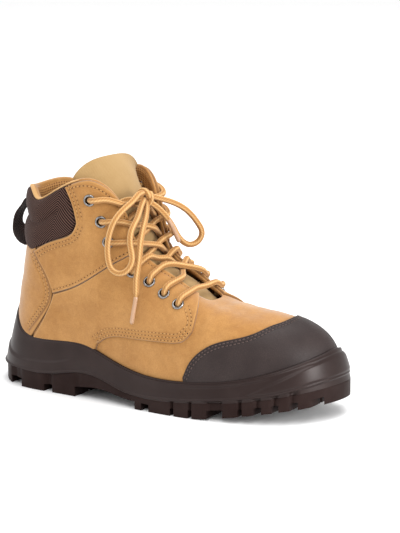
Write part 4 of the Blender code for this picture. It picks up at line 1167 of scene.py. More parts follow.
# Where the eyelets' rings lie on the leather, and their profile.
EYELET_RISE = 0.1
EYELET_DEPTH, EYELET_CROWN, EYELET_SIDES = 4.5, 1.0, 36
FLANGE_STEPS, FLANGE_LIP, FLANGE_UNDER = 9, 0.2, 0.3
PUNCH_PROFILE, PUNCH_SIDES = ((PUNCH_RADIUS, -10.0), (PUNCH_RADIUS, 6.0)), 20


def eyelet_places(pattern, side):
    """Each eyelet's centre on the leather, its direction and its shares round and up."""
    shares = pattern.shares_at(EYELETS, side)
    tops = np.where(np.arange(len(EYELETS)) < PANEL_EYELETS, PANEL_TOP, OVERLAY_TOP)
    normal = pattern.normal(shares[:, 0], shares[:, 1])
    place = pattern.at(shares) + (tops + EYELET_RISE)[:, None] * normal
    return list(zip(place, normal, shares))


def turned(profile, sides, place, direction, closed=True):
    """Points and faces of a profile of radius and height, turned about an axis."""
    turn = np.array(Vector((0, 0, 1)).rotation_difference(Vector(direction)).to_matrix())
    size = len(profile)
    points, faces = [], []
    for k, angle in enumerate(full_turn(sides)):
        for radius, height in profile:
            points.append(turn @ (radius * math.cos(angle), radius * math.sin(angle), height) + place)
        ahead = (k + 1) % sides
        for j in range(size if closed else size - 1):
            after = (j + 1) % size
            faces.append((k * size + j, ahead * size + j, ahead * size + after, k * size + after))
    if not closed:
        faces += [tuple(k * size + end for k in range(sides)) for end in (0, size - 1)]
    return points, faces


def make_punch(places, look):
    """The holes for the eyelets, as one tool."""
    tool = Many()
    for place, direction, _ in places:
        tool.add(*turned(PUNCH_PROFILE, PUNCH_SIDES, place, direction, closed=False))
    return tool.piece("punch", look)


def make_eyelets(places, look):
    """Rolled steel rings with their barrels through the leather."""
    profile = [(EYELET_HOLE_RADIUS, -EYELET_DEPTH), (EYELET_HOLE_RADIUS, EYELET_RISE)]
    middle = (EYELET_HOLE_RADIUS + EYELET_FLANGE_RADIUS) / 2
    reach = (EYELET_FLANGE_RADIUS - EYELET_HOLE_RADIUS) / 2
    for k in range(1, FLANGE_STEPS + 1):
        angle = math.pi * (1 - k / FLANGE_STEPS)
        height = EYELET_RISE + EYELET_CROWN * math.sin(angle)
        profile.append((middle + reach * math.cos(angle), height))
    barrel = PUNCH_RADIUS - EYELET_RISE
    profile.append((EYELET_FLANGE_RADIUS - FLANGE_LIP, -FLANGE_UNDER))
    profile += [(barrel, -FLANGE_UNDER), (barrel, -EYELET_DEPTH)]
    rings = Many()
    for place, direction, _ in places:
        rings.add(*turned(profile, EYELET_SIDES, place, direction))
    return rings.piece("eyelet_rings", look, sharp=50)


def frames_along(route):
    """Two directions across a route at each of its points, turned as little as can be."""
    ahead = unit(np.gradient(route, axis=0))
    side = np.cross(ahead[0], FRAME_START)
    sides = []
    for way in ahead:
        side = unit(side - way * (side @ way))
        sides.append(side)
    return np.array(sides), np.cross(ahead, sides)


def sleeve_length(length):
    """How much of a lace end its aglet covers."""
    return min(AGLET_LENGTH, AGLET_MOST * length)


def lace_tube(route, radius, sleeved):
    """Points, faces, cloth places and middle line of a lace along a route, with rounded ends. A
    sleeved one is pinched where its aglet goes round it."""
    length = length_of(route)
    count = max(8, int(length / LACE_STEP))
    line = resampled(route, np.linspace(0, 1, count))
    travelled = along(line) * length
    from_end = np.minimum(travelled, length - travelled)
    widths = radius * np.minimum(1, np.sqrt(from_end / LACE_TIP + 0.25))
    if sleeved:
        bare = length - sleeve_length(length)
        widths = widths * (1 - (1 - PINCHED_SHARE) * ramp(bare - 1.5, bare + 1.0, travelled))
    sides, others = (ways[:, None] for ways in frames_along(line))
    angles = full_turn(LACE_SIDES)[None, :, None]
    reach = sides * np.cos(angles) + others * np.sin(angles)
    points = (line[:, None] + widths[:, None, None] * reach).reshape(-1, 3)
    cloth = []
    for near, far in zip(travelled[:-1], travelled[1:]):
        for k in range(LACE_SIDES):
            here, there = k / LACE_SIDES, (k + 1) / LACE_SIDES
            cloth += [(near, here), (near, there), (far, there), (far, here)]
    for end in travelled[[0, -1]]:
        cloth += [(end, k / LACE_SIDES) for k in range(LACE_SIDES)]
    return points, tube_faces(count, LACE_SIDES) + end_caps(count, LACE_SIDES), cloth, line


def lace_piece(name, routes, look, radius=LACE_RADIUS, sleeved=False):
    """One piece with a lace along each route, and the middle line of its last lace."""
    laces, cloth = Many(), []
    for route in routes:
        points, faces, places, line = lace_tube(np.asarray(route, float), radius, sleeved)
        laces.add(points, faces)
        cloth += places
    return laces.piece(name, look, corner_cloth=cloth), line


class Tongue:
    """The tongue's form: a share along its middle line, a share across from -1 to 1 and a height
    over its front face."""

    def __init__(self):
        table = np.array(TONGUE)
        self.rows = smooth_curve(along(table[:, :2]), table)

    def facing(self, share):
        """The direction out of the front face."""
        before, after = max(0, share - TONGUE_STEP), min(1, share + TONGUE_STEP)
        x, z = unit(self.rows(after)[:2] - self.rows(before)[:2])
        return np.array((z, 0, -x))

    def point(self, share, across, over=0.0):
        x, z, half, fall, _ = self.rows(share)
        near_top = share**12
        crown = TONGUE_CROWN * near_top * abs(across) ** (5 if across < 0 else 3)
        middle = np.array((x + TONGUE_TURN * near_top * across, half * across, z - crown))
        return middle + self.facing(share) * (over - fall * across**2)

    def beside(self, share, y, over):
        """The point at a distance y from the middle line."""
        return self.point(share, y / self.rows(share)[2], over)

    def share_near(self, place):
        """The share along at which the middle line lies nearest to a place in side view."""
        shares = np.linspace(0, 1, 400)
        line = self.rows(shares)[:, :2]
        return shares[np.argmin(((line - place[[0, 2]]) ** 2).sum(1))]

    def thickness(self, share):
        """The thickness, which runs out at the top edge."""
        past = max(0.0, (share - TONGUE_TOP) / (1 - TONGUE_TOP))
        return self.rows(share)[4] * (0.25 + 0.75 * math.sqrt(max(0.0, 1 - past**2)))


def make_tongue(tongue, look):
    """The padded tongue: a flattened round section all along, rounded off at its top."""
    rounding = np.sin(np.linspace(0, 1, TONGUE_TOP_ROWS)[1:] * math.pi / 2)
    top = TONGUE_TOP + (1 - TONGUE_TOP) * rounding
    shares = np.concatenate([np.linspace(0, TONGUE_TOP, TONGUE_ROWS), top])
    points, cloth = [], []
    for share in shares:
        thickness = tongue.thickness(share)
        for angle in full_turn(TONGUE_SIDES):
            across = math.copysign(abs(math.cos(angle)) ** 0.75, math.cos(angle))
            height = math.copysign(abs(math.sin(angle)) ** 0.6, math.sin(angle))
            quilt = QUILT * math.sin(QUILT_WAVES * share) * (1 - across**2) * (height > 0)
            points.append(tongue.point(share, across, thickness * (height - 1) / 2 + quilt))
            cloth.append((TONGUE_HALF_CLOTH * across, TONGUE_CLOTH_LENGTH * share))
    faces = cup_faces(len(shares), TONGUE_SIDES)
    return mesh_object("tongue_cloth", points, faces, look, cloth)


def rim_beside(pattern, place, side):
    """The share round at which the throat's edge lies beside an eyelet: level with it on the upright
    part over the ankle, nearest to it on the instep."""
    around = way_round(side, *THROAT_SPAN, 600)
    rim = pattern.rim(around)
    if place[2] > ANKLE_FROM_Z:
        return around[np.argmin(abs(rim[:, 2] - place[2] + EDGE_BELOW_EYELET))]
    return around[np.argmin(((rim - place) ** 2).sum(1))]


def over_edge(pattern, eyelet, edge_share):
    """A lace's way from inside out of an eyelet and along the leather to the edge of the throat."""
    place, normal, shares = eyelet
    top = LACE_RADIUS + (PANEL_TOP if place[2] > ANKLE_FROM_Z else OVERLAY_TOP)
    edge = pattern.off(edge_share, RIM_SHARE, top)
    halfway = pattern.off(*(shares + (edge_share, RIM_SHARE)) / 2, top + EYELET_RISE)
    out = place + normal * LACE_CLEAR + unit(halfway - place) * EYELET_TURN
    return [place - normal * EYELET_INSIDE, place - normal * EYELET_MOUTH, out, halfway, edge]


def lace_bar(pattern, tongue, start, goal, side):
    """A lace's route out of an eyelet, over that edge of the throat, across the tongue and under the
    other edge to an eyelet on the other side."""
    over_share = rim_beside(pattern, start[0], side)
    over_rim = pattern.rim(over_share)
    under_rim = pattern.rim(rim_beside(pattern, goal[0], -side))
    first, last = tongue.share_near(over_rim), tongue.share_near(under_rim)
    places = (
        (0.25, 0.5 * over_rim[1], STRAND_LIFT + 2.5),
        (0.5, 0.0, STRAND_LIFT + CROSS_LIFT[side]),
        (0.8, 0.7 * under_rim[1], LACE_CLEAR),
        (1.0, 1.15 * under_rim[1], LACE_RADIUS),
    )
    way = [tongue.beside(first + (last - first) * share, y, lift) for share, y, lift in places]
    return over_edge(pattern, start, over_share) + way + [goal[0] - goal[1] * UNDER_EYELET]


def over_both(pattern, tongue, lateral, medial, lift):
    """A lace's route between two eyelets, over both edges of the throat."""
    ways = []
    for side, eyelet in ((LATERAL, lateral), (MEDIAL, medial)):
        ways.append(over_edge(pattern, eyelet, rim_beside(pattern, eyelet[0], side)))
    share = tongue.share_near((ways[0][-1] + ways[1][-1]) / 2)
    return ways[0] + [tongue.point(share, 0.0, lift)] + ways[1][::-1]


def knot_strand(pattern, tongue, eyelet, side):
    """The lace's way from inside a top eyelet, out under the throat's edge and up to the knot."""
    place, normal, _ = eyelet
    rim = pattern.rim(rim_beside(pattern, place, side))
    share = tongue.share_near(rim)
    outer = tongue.beside(share, 0.95 * rim[1], LACE_CLEAR)
    inner = tongue.beside(share, 0.6 * rim[1], LACE_CLEAR + 2.0)
    into_knot = [np.add(KNOT, (-1.5, 6.5 * side, -0.5)), np.add(KNOT, (0, 1.0 * side, 0))]
    return [place - normal * EYELET_MOUTH, place - normal * EYELET_INSIDE, outer, inner] + into_knot


def make_lace_run(pattern, tongue, eyelets, look):
    """The strands of the lace between the eyelets."""
    routes = []
    for side, first, last in CROSSINGS:
        start, goal = eyelets[side][first - 1], eyelets[-side][last - 1]
        routes.append(lace_bar(pattern, tongue, start, goal, side))
    for first, last, lift in OVER_BOTH:
        lateral, medial = eyelets[LATERAL][first - 1], eyelets[MEDIAL][last - 1]
        routes.append(over_both(pattern, tongue, lateral, medial, lift))
    run, _ = lace_piece("lace_run", routes, look)
    dress(run, "lace", *[f"lace_cross_{k}" for k in range(1, len(EYELETS))])


def make_knot(pattern, tongue, eyelets, look):
    """The bow's knot, with the strands that come to it from the top eyelets."""
    routes = [knot_strand(pattern, tongue, eyelets[side][0], side) for side in (LATERAL, MEDIAL)]
    turns = np.linspace(0, KNOT_HALF_TURNS * math.pi, 30)
    sideways = KNOT_PITCH * (turns / math.pi - KNOT_HALF_TURNS / 2)
    wrap = np.stack([KNOT_DEPTH * np.cos(turns), sideways, KNOT_HEIGHT * np.sin(turns)], axis=1)
    routes.append(np.add(KNOT, wrap))
    tied, _ = lace_piece("lace_bow_knot", routes, look)
    dress(tied, "lace", "lace_knot")


def make_bow(look):
    """The bow's two loops and its two ends with their aglets."""
    film = plain_look("aglet_film", AGLET, 0.3, 0.1, Coat_Weight=0.4)
    for name, route, is_end in BOW:
        cord, line = lace_piece(name + "_cord", [route], look, sleeved=is_end)
        dress(cord, "lace", name)
        aglets = [make_aglet(name + "_aglet", line, film)] if is_end else []


def make_aglet(name, line, look):
    """The film sleeve round the last stretch of a lace end."""
    length = length_of(line)
    sleeve = line[along(line) * length > length - sleeve_length(length)]
    piece, _ = lace_piece(name, [sleeve], look, AGLET_RADIUS)
    return dress(piece, "lace")


def cuff_fronts(pattern):
    """The shares round at the cuff's lateral front and at its medial front."""
    return [pattern.shares_at([CUFF_FRONT_TOP], side)[0, 0] for side in (LATERAL, MEDIAL)]


def cuff_edges(pattern, shares):
    """The cuff's lower edge and its rim, from its lateral front round the back to its medial front."""
    lower = [side_edge(pattern, CUFF_LOWER, side, np.linspace(0, 1, 9)) for side in (LATERAL, MEDIAL)]
    levels = np.linspace(0.2, 1, 400)
    back = np.interp(CUFF_BACK_Z, pattern.upper(0.5, levels)[:, 2], levels)
    low = resampled(np.concatenate([lower[0], [(0.5, back)], lower[1][::-1]]), shares)
    first, last = cuff_fronts(pattern)
    rim = np.stack([first + (last - first) * shares, np.full(len(shares), CUFF_RIM_SHARE)], axis=1)
    return low, rim


def make_cuff(pattern, look):
    """The padded collar: two puffed channels with a sewn fold between them."""
    columns, rows = crowded(CUFF_COUNT), crowded(CUFF_ROWS)
    shares = strip(*cuff_edges(pattern, columns), rows)
    face, normal = pattern.upper(*shares), pattern.normal(*shares)
    across = rows[:, None]
    sideways = np.linspace(0, 1, CUFF_COUNT)
    ends = np.minimum(1, 9 * np.minimum(columns, 1 - columns))
    puff = np.abs(np.sin(2 * math.pi * across)) ** 0.6 * ends
    pulls = PULL_DEPTH * np.sin(70 * sideways + 2 * np.sin(9 * sideways))
    pulls = pulls * np.exp(-(((across - 0.5) / PULL_WIDTH) ** 2))
    hem = rounded_hem(distance_to_line(face, closed_border(face)), CUFF_HEM)
    lift = CUFF_LEAST + (CUFF_EDGE + CUFF_PUFF * puff + pulls) * hem
    outer = face + normal * lift[..., None]
    cloth = np.stack([shares[0] * CUFF_LENGTH, outer[..., 2]], axis=-1)
    return sheet_piece("cuff_cloth", outer, face - normal * OVERLAY_UNDER, look, cloth)


def make_binding(pattern, look):
    """The pale rolled edge along the collar's rim, from one front of the cuff to the other."""
    first, last = cuff_fronts(pattern)
    around = np.linspace(first - BINDING_PAST, last + BINDING_PAST, BINDING_COUNT)
    rim = pattern.upper(around, 1.0)
    normal = pattern.normal(around, 0.99)
    up = unit(rim - pattern.upper(around, 0.97))
    order = np.arange(BINDING_COUNT)
    ends = np.sqrt(np.clip(np.minimum(order, order[::-1]) / 5, 0.05, 1))[:, None]
    rings = []
    for angle in full_turn(BINDING_SIDES):
        out = BINDING_BREADTH * math.cos(angle) - BINDING_IN
        over = BINDING_HEIGHT * math.sin(angle) - BINDING_DOWN
        rings.append(rim + ends * (normal * out + up * over))
    grid = np.stack(rings, axis=1)
    size = grid.shape[:2]
    faces = tube_faces(*size) + end_caps(*size)
    cloth = cloth_map(grid).reshape(-1, 2)
    return mesh_object("collar_binding", grid.reshape(-1, 3), faces, look, cloth)


def make_pull_loop(pattern, look):
    """The webbing band at the back of the cuff."""
    table = np.array(PULL_LOOP)
    rows = smooth_curve(along(table[:, [0, 3]]), table)(np.linspace(0, 1, LOOP_ROWS))
    z, half_width, side_rise, stand_off = (column[:, None] for column in rows.T)
    across = np.cos(np.linspace(math.pi, 0, LOOP_COLUMNS))[None]
    around = 0.5 + half_width * across
    up = pattern.up_to(around, z + side_rise * across**2)
    middle = np.broadcast_to(stand_off, around.shape) + STRAP_THICKNESS / 2
    half = STRAP_THICKNESS / 2 * np.sqrt(1 - STRAP_EDGE * np.abs(across) ** 8)
    outer, inner = (pattern.off(around, up, middle + lift) for lift in (half, -half))
    return sheet_piece("pull_loop_webbing", outer, inner, look, cloth_map(outer))


def make_midsole(pattern, look):
    """The moulded cup: bead, heel step, toe bumper and fine groove on its wall, and the tray."""
    around = np.arange(MIDSOLE_COUNT) / MIDSOLE_COUNT
    lip_z, lip_out = pattern.lip(around).T
    lip_share = pattern.up_to(around, lip_z)
    foot = pattern.outline(around)
    foot = lifted(foot, pattern.joint(foot[:, 0]) - SKIRT)
    out = lifted(pattern.outwards(around), np.zeros(MIDSOLE_COUNT))
    top = pattern.upper(around, lip_share) + out * lip_out[:, None] - (0, 0, LIP_DROP)
    under = foot - out * MIDSOLE_UNDER
    under[:, 2] = pattern.joint(under[:, 0]) - SKIRT
    rings = [under]
    for share in crowded(MIDSOLE_ROWS):
        base = foot + (top - foot) * share
        rings.append(base + out * side_shape(base, share, lip_z)[:, None])
    for part, rise in LIP_TOP:
        rings.append(pattern.off(around, lip_share, GAP + (lip_out - GAP) * part) + (0, 0, rise))
    rings += [pattern.off(around, lip_share * share, GAP) for share in (1.0, 0.5)]
    floor = pattern.outline(around, pattern.inset(around) - GAP)
    rings.append(lifted(floor, pattern.tray(floor[:, 0])))
    faces = cup_faces(len(rings), MIDSOLE_COUNT)
    return mesh_object("midsole_cup", np.concatenate(rings), faces, look)


def over_line(line, x, z):
    """How high a place on the sole's side lies over a line in side view."""
    return z - smooth_curve(*np.array(line).T)(x)


def side_shape(base, share, lip_z):
    """How far the midsole's wall stands out of its straight slope at a ring of points."""
    x, z = base[:, 0], base[:, 2]
    over_bead = over_line(BEAD_LINE, x, z)
    bead = BEAD_HEIGHT * np.exp(-((over_bead / BEAD_WIDTH) ** 2))
    heel = HEEL_STEP * ramp(-62, -84, x) * ramp(1.2, -1.2, over_line(HEEL_STEP_LINE, x, z))
    ahead = 0.75 * (x - np.interp(z, *np.array(BUMPER_EDGE)[:, ::-1].T))
    bumper = BUMPER_STEP * ramp(-1.4, 1.6, ahead) * (x > BUMPER_EDGE[0][0] - 4)
    bumper = bumper * ramp(0, 3, over_bead) * ramp(1.05, 0.84, share)
    belly = BELLY * math.sin(math.pi * share)
    over_groove = z - lip_z + LIP_DROP + LIP_GROOVE_BELOW
    groove = LIP_GROOVE_DEPTH * np.exp(-((over_groove / LIP_GROOVE_WIDTH) ** 2))
    groove = groove * ramp(*LIP_GROOVE_START, x) * ramp(*LIP_GROOVE_END, x)
    lip_roll = LIP_ROLL * ramp(0.96, 1.0, share)
    return bead + heel + bumper + belly - groove - flute(x, z) - lip_roll


def flute(x, z):
    """How deep the sole's side is fluted under its bead, between the lugs."""
    inside = np.zeros(x.shape)
    for low, high in LUGS:
        inside = np.maximum(inside, ramp(low - 1.2, low + 0.2, x) * ramp(high + 1.2, high - 0.2, x))
    fluted = ramp(28, 36, x) * ramp(141, 137, x) + ramp(-58, -66, x)
    return FLUTE_DEPTH * (1 - inside) * fluted * ramp(-0.8, -2.2, over_line(BEAD_LINE, x, z))


def share_passing(curve, x, side, last=0.5):
    """The share round at which a curve passes x on one side, before a last share."""
    around = way_round(side, 0.0, last, 4001)
    return np.interp(-x, -curve(around)[:, 0], around)


def lug_rows():
    """Rows of points along the sole: the lugs' edges, and steps between them."""
    edges = {float(x) for lug in LUGS for x in lug if abs(x) < SOLE_TIP}
    edges = sorted(edges | set(TIP_ROWS))
    rows = []
    for low, high in zip(edges[:-1], edges[1:]):
        steps = max(1, int(math.ceil((high - low) / ROW_STEP)))
        rows += [low + (high - low) * k / steps for k in range(steps)]
    return np.array(rows + edges[-1:])


def outsole_ring(pattern, around, inset, height):
    """A ring of the outsole's wall at an inset and at a height that follows x."""
    x = pattern.plan(around)[:, 0]
    flat = pattern.outline(around, inset + flute(x, height(x)))
    return lifted(flat, height(flat[:, 0]))


def add_underside(points, faces, rows, first):
    """Adds the underside of the outsole's plate inside its last ring, whose first point is given. The
    result is the numbers of the faces that lugs are drawn from."""
    columns = len(LUG_COLUMNS)
    grid = np.zeros((len(rows), columns), int)
    for i in range(len(rows)):
        from_edge, to_edge = first + len(rows) - i, first + len(rows) + 2 + i
        grid[i, 0], grid[i, -1] = from_edge, to_edge
        for j, share in enumerate(LUG_COLUMNS[1:-1], start=1):
            grid[i, j] = len(points)
            points.append(points[from_edge] * (1 - share) + points[to_edge] * share)
    lugs = []
    for i in range(len(rows) - 1):
        is_lug = any(low - 0.1 <= rows[i] and rows[i + 1] <= high + 0.1 for low, high in LUGS)
        for j in range(columns - 1):
            if j in LUG_CELLS and is_lug:
                lugs.append(len(faces))
            faces.append((grid[i, j], grid[i, j + 1], grid[i + 1, j + 1], grid[i + 1, j]))
    for tip, row in ((first, grid[-1]), (first + len(rows) + 1, grid[0])):
        for j in range(columns - 1):
            lugs.append(len(faces))
            faces.append((tip, row[j], row[j + 1]))
    return lugs


def draw_lugs(pattern, mesh, lugs):
    """Draws faces of the outsole's plate down to the tread."""
    made = bmesh.new()
    made.from_mesh(mesh)
    made.faces.ensure_lookup_table()
    flat = [made.faces[k] for k in lugs]
    drawn = bmesh.ops.extrude_face_region(made, geom=flat)
    bmesh.ops.delete(made, geom=flat, context="FACES_ONLY")
    for corner in drawn["geom"]:
        if isinstance(corner, bmesh.types.BMVert):
            corner.co.z = float(pattern.tread(corner.co.x / MM)) * MM
    bmesh.ops.recalc_face_normals(made, faces=made.faces)
    made.to_mesh(mesh)
    made.free()


def make_outsole(pattern, look):
    """The lugged outsole: a plate under the midsole with lugs drawn down from it, row by row."""
    rows = lug_rows()
    lateral, medial = (share_passing(pattern.plan, rows, side) for side in (LATERAL, MEDIAL))
    around = np.concatenate([[0.0], lateral[::-1], [0.5], medial])
    rings = []
    for inset, depth in OUTSOLE_WALL:
        rings.append(outsole_ring(pattern, around, inset, lambda x: pattern.joint(x) - depth))
    rings.append(outsole_ring(pattern, around, 0.0, pattern.root))
    points = list(np.concatenate(rings))
    faces = tube_faces(len(rings), len(around)) + ladder(len(around), 0)
    lugs = add_underside(points, faces, rows, (len(rings) - 1) * len(around))
    obj = mesh_object("outsole_rubber", points, faces, look)
    draw_lugs(pattern, obj.data, lugs)
    bevel = obj.modifiers.new("rounded", "BEVEL")
    bevel.width = LUG_ROUND * MM
    bevel.segments = 2
    bevel.limit_method = "ANGLE"
    bevel.angle_limit = math.radians(40)
    obj.data.shade_smooth()
    obj.data.set_sharp_from_angle(angle=math.radians(50))
    return obj


def make_insole(pattern, look):
    """The pad that lies on the tray, with a rounded edge."""
    around = np.arange(INSOLE_COUNT) / INSOLE_COUNT
    rings = []
    for inset, rise in INSOLE_EDGE:
        flat = pattern.outline(around, pattern.inset(around) + LEATHER + inset)
        rings.append(lifted(flat, pattern.tray(flat[:, 0]) + GAP + rise))
    points = np.concatenate(rings)
    faces = cup_faces(len(rings), INSOLE_COUNT)
    return mesh_object("insole_pad", points, faces, look, points[:, :2])


def make_cap(pattern, look, sewing):
    """The scuff cap round the toe, with two rows of stitches along its edge."""
    edges = [side_edge(pattern, CAP_EDGE, side, np.linspace(0, 1, 9)) for side in (LATERAL, MEDIAL)]
    levels = np.linspace(0.3, 1, 400)
    crest = np.interp(-CAP_CREST_X, -pattern.upper(0.0, levels)[:, 0], levels)
    edge = np.concatenate([edges[1] - (1, 0), [(0.0, crest)], edges[0][::-1]])
    around = edge[0, 0] + (edge[-1, 0] - edge[0, 0]) * crowded(CAP_COUNT)
    bottom = pattern.under_lip(around)
    top = np.maximum(smooth_curve(edge[:, 0], edge[:, 1])(around), bottom + CAP_LEAST)
    line = np.stack([around, top], axis=1)
    face = pattern.at(line)
    inward = np.cross(unit(np.gradient(face, axis=0)), pattern.normal(around, top))
    seams = []
    for inset in CAP_SEAM_ROWS:
        shares = pattern.shares_near(line, face - inward * inset)
        seams.append(sew(pattern, shares[shares[:, 1] > bottom + CAP_SEAM_LEAST], CAP_TOP, sewing))
    shares = strip(np.stack([around, bottom], axis=1), line, crowded(OVERLAY_ROWS))
    return overlay("toe_cap_leather", pattern, shares, look, CAP_TOP, seams)


def sewn(pattern, lines, side, top, sewing):
    """Sews rows along lines in side view, each with its shift, and gives their places."""
    found = []
    for points, shift in lines:
        shares = side_edge(pattern, points, side, np.linspace(0, 1, EDGE_COUNT), shift)
        found.append(sew(pattern, shares, top, sewing))
    return found


def two_part_edge(pattern, parts, side, shifts=(0.0, 0.0)):
    """An edge in two stretches, crowded towards its two ends."""
    first = side_edge(pattern, parts[0], side, crowded(EDGE_COUNT, last=False), shifts[0])
    second = side_edge(pattern, parts[1], side, crowded(EDGE_COUNT, first=False), shifts[1])
    return np.concatenate([first, second])


def rim_row(pattern, side, ends, top, sewing):
    """Sews a row that follows the rim at a distance below it, between two places in side view."""
    first, last = pattern.shares_at(ends, side)[:, 0]
    around = np.linspace(first, last, RIM_ROW_COUNT)
    slope = 3 * np.linalg.norm(pattern.lead(around), axis=1)
    return sew(pattern, np.stack([around, RIM_SHARE - EDGE_ROW / slope], axis=1), top, sewing)


def make_panel(pattern, side, name, look, sewing):
    """The ankle panel, from the collar's front down round the cuff to the backstay."""
    inner = two_part_edge(pattern, PANEL_CUFF_SIDE, side, (-1.6, -1.6))
    outer = two_part_edge(pattern, PANEL_THROAT_SIDE, side, (0.0, 1.6))
    inner[:EDGE_COUNT, 1] += (RIM_SHARE - inner[0, 1]) * np.linspace(1, 0, EDGE_COUNT) ** 4
    outer[:PANEL_RIM_COUNT, 1] = EDGE_SHARE
    shares = strip(inner, outer, crowded(OVERLAY_ROWS), bow_last=side * SEAM_BOW)
    lines = [(part, shift) for shift in (1.6, 4.6) for part in PANEL_CUFF_SIDE]
    lines.append((PANEL_THROAT_SIDE[1], -1.2))
    seams = sewn(pattern, lines, side, PANEL_TOP, sewing)
    ends = (PANEL_ROW_FROM, PANEL_THROAT_SIDE[0][-1])
    seams.append(rim_row(pattern, side, ends, PANEL_TOP, sewing))
    return overlay(name, pattern, shares, look, PANEL_TOP, seams)


def make_quarter(pattern, side, name, look, sewing):
    """The quarter, from the backstay to its rounded tab at the foot of the throat."""
    top = two_part_edge(pattern, QUARTER_TOP, side)
    rim = top[QUARTER_RIM_FROM:]
    rim[:, 1] = EDGE_SHARE
    tab_end = share_passing(pattern.rim, TAB_END_X[side], side, 0.25)
    rim[:, 0] = rim[0, 0] + (tab_end - rim[0, 0]) * along(rim)
    low = two_part_edge(pattern, QUARTER_LOWER, side, (-4.5, 0.0))
    shares = strip(low, top, crowded(QUARTER_ROWS), bow_first=side * SEAM_BOW)
    lines = [(QUARTER_LOWER[1], shift) for shift in (1.8, 4.4, 7.0)]
    lines += [(QUARTER_FRONT, shift) for shift in (-2.4, -5.2)]
    seams = sewn(pattern, lines, side, OVERLAY_TOP, sewing)
    ends = (QUARTER_TOP[1][1], QUARTER_TOP[1][-1])
    seams.append(rim_row(pattern, side, ends, OVERLAY_TOP, sewing))
    return overlay(name, pattern, shares, look, OVERLAY_TOP, seams)


def make_backstay(pattern, look, sewing):
    """The strip up the heel, from the sole's heel peak to under the cuff."""
    rows = crowded(EDGE_COUNT)
    edges = [side_edge(pattern, BACKSTAY_EDGE, side, rows, 1.8) for side in (LATERAL, MEDIAL)]
    around, up = strip(*edges, crowded(BACKSTAY_COLUMNS))
    low, _ = cuff_edges(pattern, np.linspace(0, 1, 80))
    under_cuff = np.interp(around[:, 0], low[:, 0], low[:, 1]) + UNDER_CUFF
    first_gap = (under_cuff - up[:, 0])[:, None]
    last_gap = (pattern.under_lip(around[:, -1]) - up[:, -1])[:, None]
    up = up + (1 - rows) ** 2 * first_gap + rows**2 * last_gap
    seams, shaded = [], []
    for side in (LATERAL, MEDIAL):
        lines = [(BACKSTAY_EDGE, -1.6), (BACKSTAY_EDGE, -4.4)]
        seams += sewn(pattern, lines, side, BACKSTAY_TOP, sewing)
        # Painted shade lines on the backstay along the edges of the pieces that lie over it.
        shaded.append(pattern.at(side_edge(pattern, BACKSTAY_EDGE, side, rows, 0.2)))
    return overlay("backstay_leather", pattern, (around, up), look, BACKSTAY_TOP, seams, shaded)


def make_sole(pattern, rubber):
    dress(make_outsole(pattern, rubber), "sole_rubber", "outsole")
    midsole_look = rubber_look("midsole_rubber", 0.46, 0.25)
    dress(make_midsole(pattern, midsole_look), "midsole_rubber", "midsole")
    insole_look = weave_look("insole_weave", INSOLE, 2.0)
    dress(make_insole(pattern, insole_look), "insole_textile", "insole")


def make_collar(pattern):
    cuff_look = twill_look("cuff_twill", CUFF, 2.1, 21.0)
    cuff = dress(make_cuff(pattern, cuff_look), "cuff_cloth", "collar_cuff")
    dress(make_binding(pattern, weave_look("binding_weave", BINDING, 1.2)), "nubuck")


def make_sides(pattern, punch, look, sewing):
    for side, word in SIDES:
        panel = make_panel(pattern, side, f"ankle_panel_{word}_leather", look, sewing)
        dress(cut(panel, punch), "nubuck", f"ankle_panel_{word}")
        quarter = make_quarter(pattern, side, f"quarter_{word}_leather", look, sewing)
        dress(cut(quarter, punch), "nubuck", f"quarter_{word}")


def make_boot():
    """Every piece of the boot, in place of its solid."""
    pattern, tongue = Pattern(), Tongue()
    nubuck = nubuck_look()
    rubber = rubber_look("outsole_rubber", 0.55, 0.0)
    eyelets = {side: eyelet_places(pattern, side) for side in (LATERAL, MEDIAL)}
    every_eyelet = eyelets[LATERAL] + eyelets[MEDIAL]
    punch = make_punch(every_eyelet, rubber)
    tan, tan_hole_shades, brown, brown_hole_shades = Many(), Many(), Many(), Many()
    make_sole(pattern, rubber)
    dress(cut(make_upper(pattern, nubuck), punch), "nubuck", "upper")
    dress(cut(make_lining(pattern, mesh_lining_look()), punch), "insole_textile")
    dress(make_cap(pattern, grained_look(), (brown, brown_hole_shades)), "coated_leather", "toe_cap")
    make_collar(pattern)
    dress(make_backstay(pattern, nubuck, (tan, tan_hole_shades)), "nubuck", "backstay")
    make_sides(pattern, punch, nubuck, (tan, tan_hole_shades))
    bpy.data.objects.remove(punch)
    tongue_look = weave_look("tongue_weave", TONGUE_CLOTH, 1.5)
    dress(make_tongue(tongue, tongue_look), "tongue_textile", "tongue")
    loop_look = twill_look("loop_webbing", WEBBING, 2.4, 5.0)
    dress(make_pull_loop(pattern, loop_look), "webbing", "pull_loop")
    rings = [f"eyelet_{word}_{k}" for _, word in SIDES for k in range(1, len(EYELETS) + 1)]
    dress(make_eyelets(every_eyelet, metal_look()), "eyelet_metal", *rings)
    braid = lace_look()
    make_lace_run(pattern, tongue, eyelets, braid)
    make_knot(pattern, tongue, eyelets, braid)
    make_bow(braid)
    dress(tan.piece("tan_stitches", thread_look("tan_thread", TAN_THREAD)), "nubuck")
    dress(brown.piece("brown_stitches", thread_look("brown_thread", BROWN_THREAD)), "coated_leather")
    # Dark discs of painted shade in the needle holes.
    tan_shade = plain_look("hole_shade", TAN_HOLE_SHADE, 0.95)
    brown_shade = plain_look("dark_hole_shade", BROWN_HOLE_SHADE, 0.95)
    dress(tan_hole_shades.piece("tan_needle_hole_shades", tan_shade), "nubuck")
    dress(brown_hole_shades.piece("brown_needle_hole_shades", brown_shade), "coated_leather")


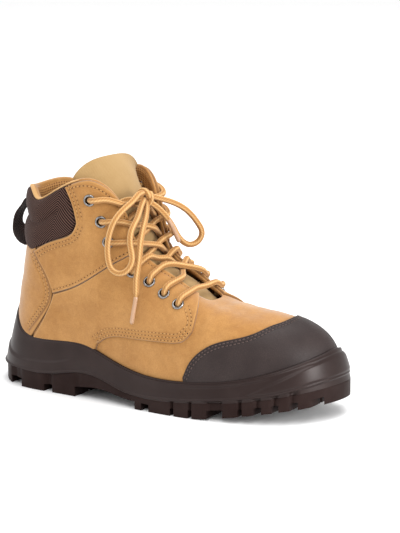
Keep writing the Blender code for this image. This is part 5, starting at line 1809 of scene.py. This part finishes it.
# The floor's size in metres, and the lights: name, place, size and power.
FLOOR_SIZE = 6.0
LIGHTS = (
    ("key", (0.9, -1.3, 1.9), 1.4, 22.0),
    ("fill", (-1.6, -1.2, 1.2), 1.8, 10.0),
    ("top", (0.3, 0.3, 2.2), 1.4, 30.0),
    ("front", (1.9, -0.1, 0.55), 0.6, 24.0),
)
LIGHT_AIM = (0, 0, 0.08)
WORLD_STRENGTH = 0.95


def make_floor():
    """A plain pale floor."""
    half = FLOOR_SIZE / 2
    corners = [(-half, -half, 0), (half, -half, 0), (half, half, 0), (-half, half, 0)]
    mesh = bpy.data.meshes.new("floor")
    mesh.from_pydata(corners, [], [(0, 1, 2, 3)])
    mesh.materials.append(Look("floor_white", 0.6, Specular_IOR_Level=0.2).finish(FLOOR))
    floor = bpy.data.objects.new("floor", mesh)
    bpy.context.scene.collection.objects.link(floor)


def make_lights():
    """Soft studio light from square lamps, and an even pale surround."""
    for name, place, size, power in LIGHTS:
        data = bpy.data.lights.new(name, "AREA")
        data.shape = "SQUARE"
        data.size = size
        data.energy = power
        light = bpy.data.objects.new(name, data)
        light.location = place
        light.rotation_euler = (Vector(LIGHT_AIM) - Vector(place)).to_track_quat("-Z", "Y").to_euler()
        bpy.context.scene.collection.objects.link(light)
    world = bpy.data.worlds.new("studio")
    world.use_nodes = True
    background = world.node_tree.nodes["Background"]
    background.inputs["Color"].default_value = (1, 1, 1, 1)
    background.inputs["Strength"].default_value = WORLD_STRENGTH
    bpy.context.scene.world = world
    bpy.context.scene.view_settings.view_transform = "Standard"


def make_camera():
    """The photograph's camera."""
    azimuth, elevation = math.radians(CAMERA_AZIMUTH), math.radians(CAMERA_ELEVATION)
    away = Vector(
        (
            math.sin(azimuth) * math.cos(elevation),
            -math.cos(azimuth) * math.cos(elevation),
            math.sin(elevation),
        )
    )
    data = bpy.data.cameras.new("camera")
    data.sensor_width = SENSOR
    data.lens = SENSOR * PIXELS_PER_METRE * CAMERA_DISTANCE / PICTURE_HEIGHT
    data.clip_end = 20
    camera = bpy.data.objects.new("camera", data)
    camera.location = Vector(CAMERA_AIM) + away * CAMERA_DISTANCE
    camera.rotation_euler = (-away).to_track_quat("-Z", "Y").to_euler()
    bpy.context.scene.collection.objects.link(camera)
    bpy.context.scene.camera = camera


def main():
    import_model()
    make_camera()
    make_boot()
    make_floor()
    make_lights()


main()
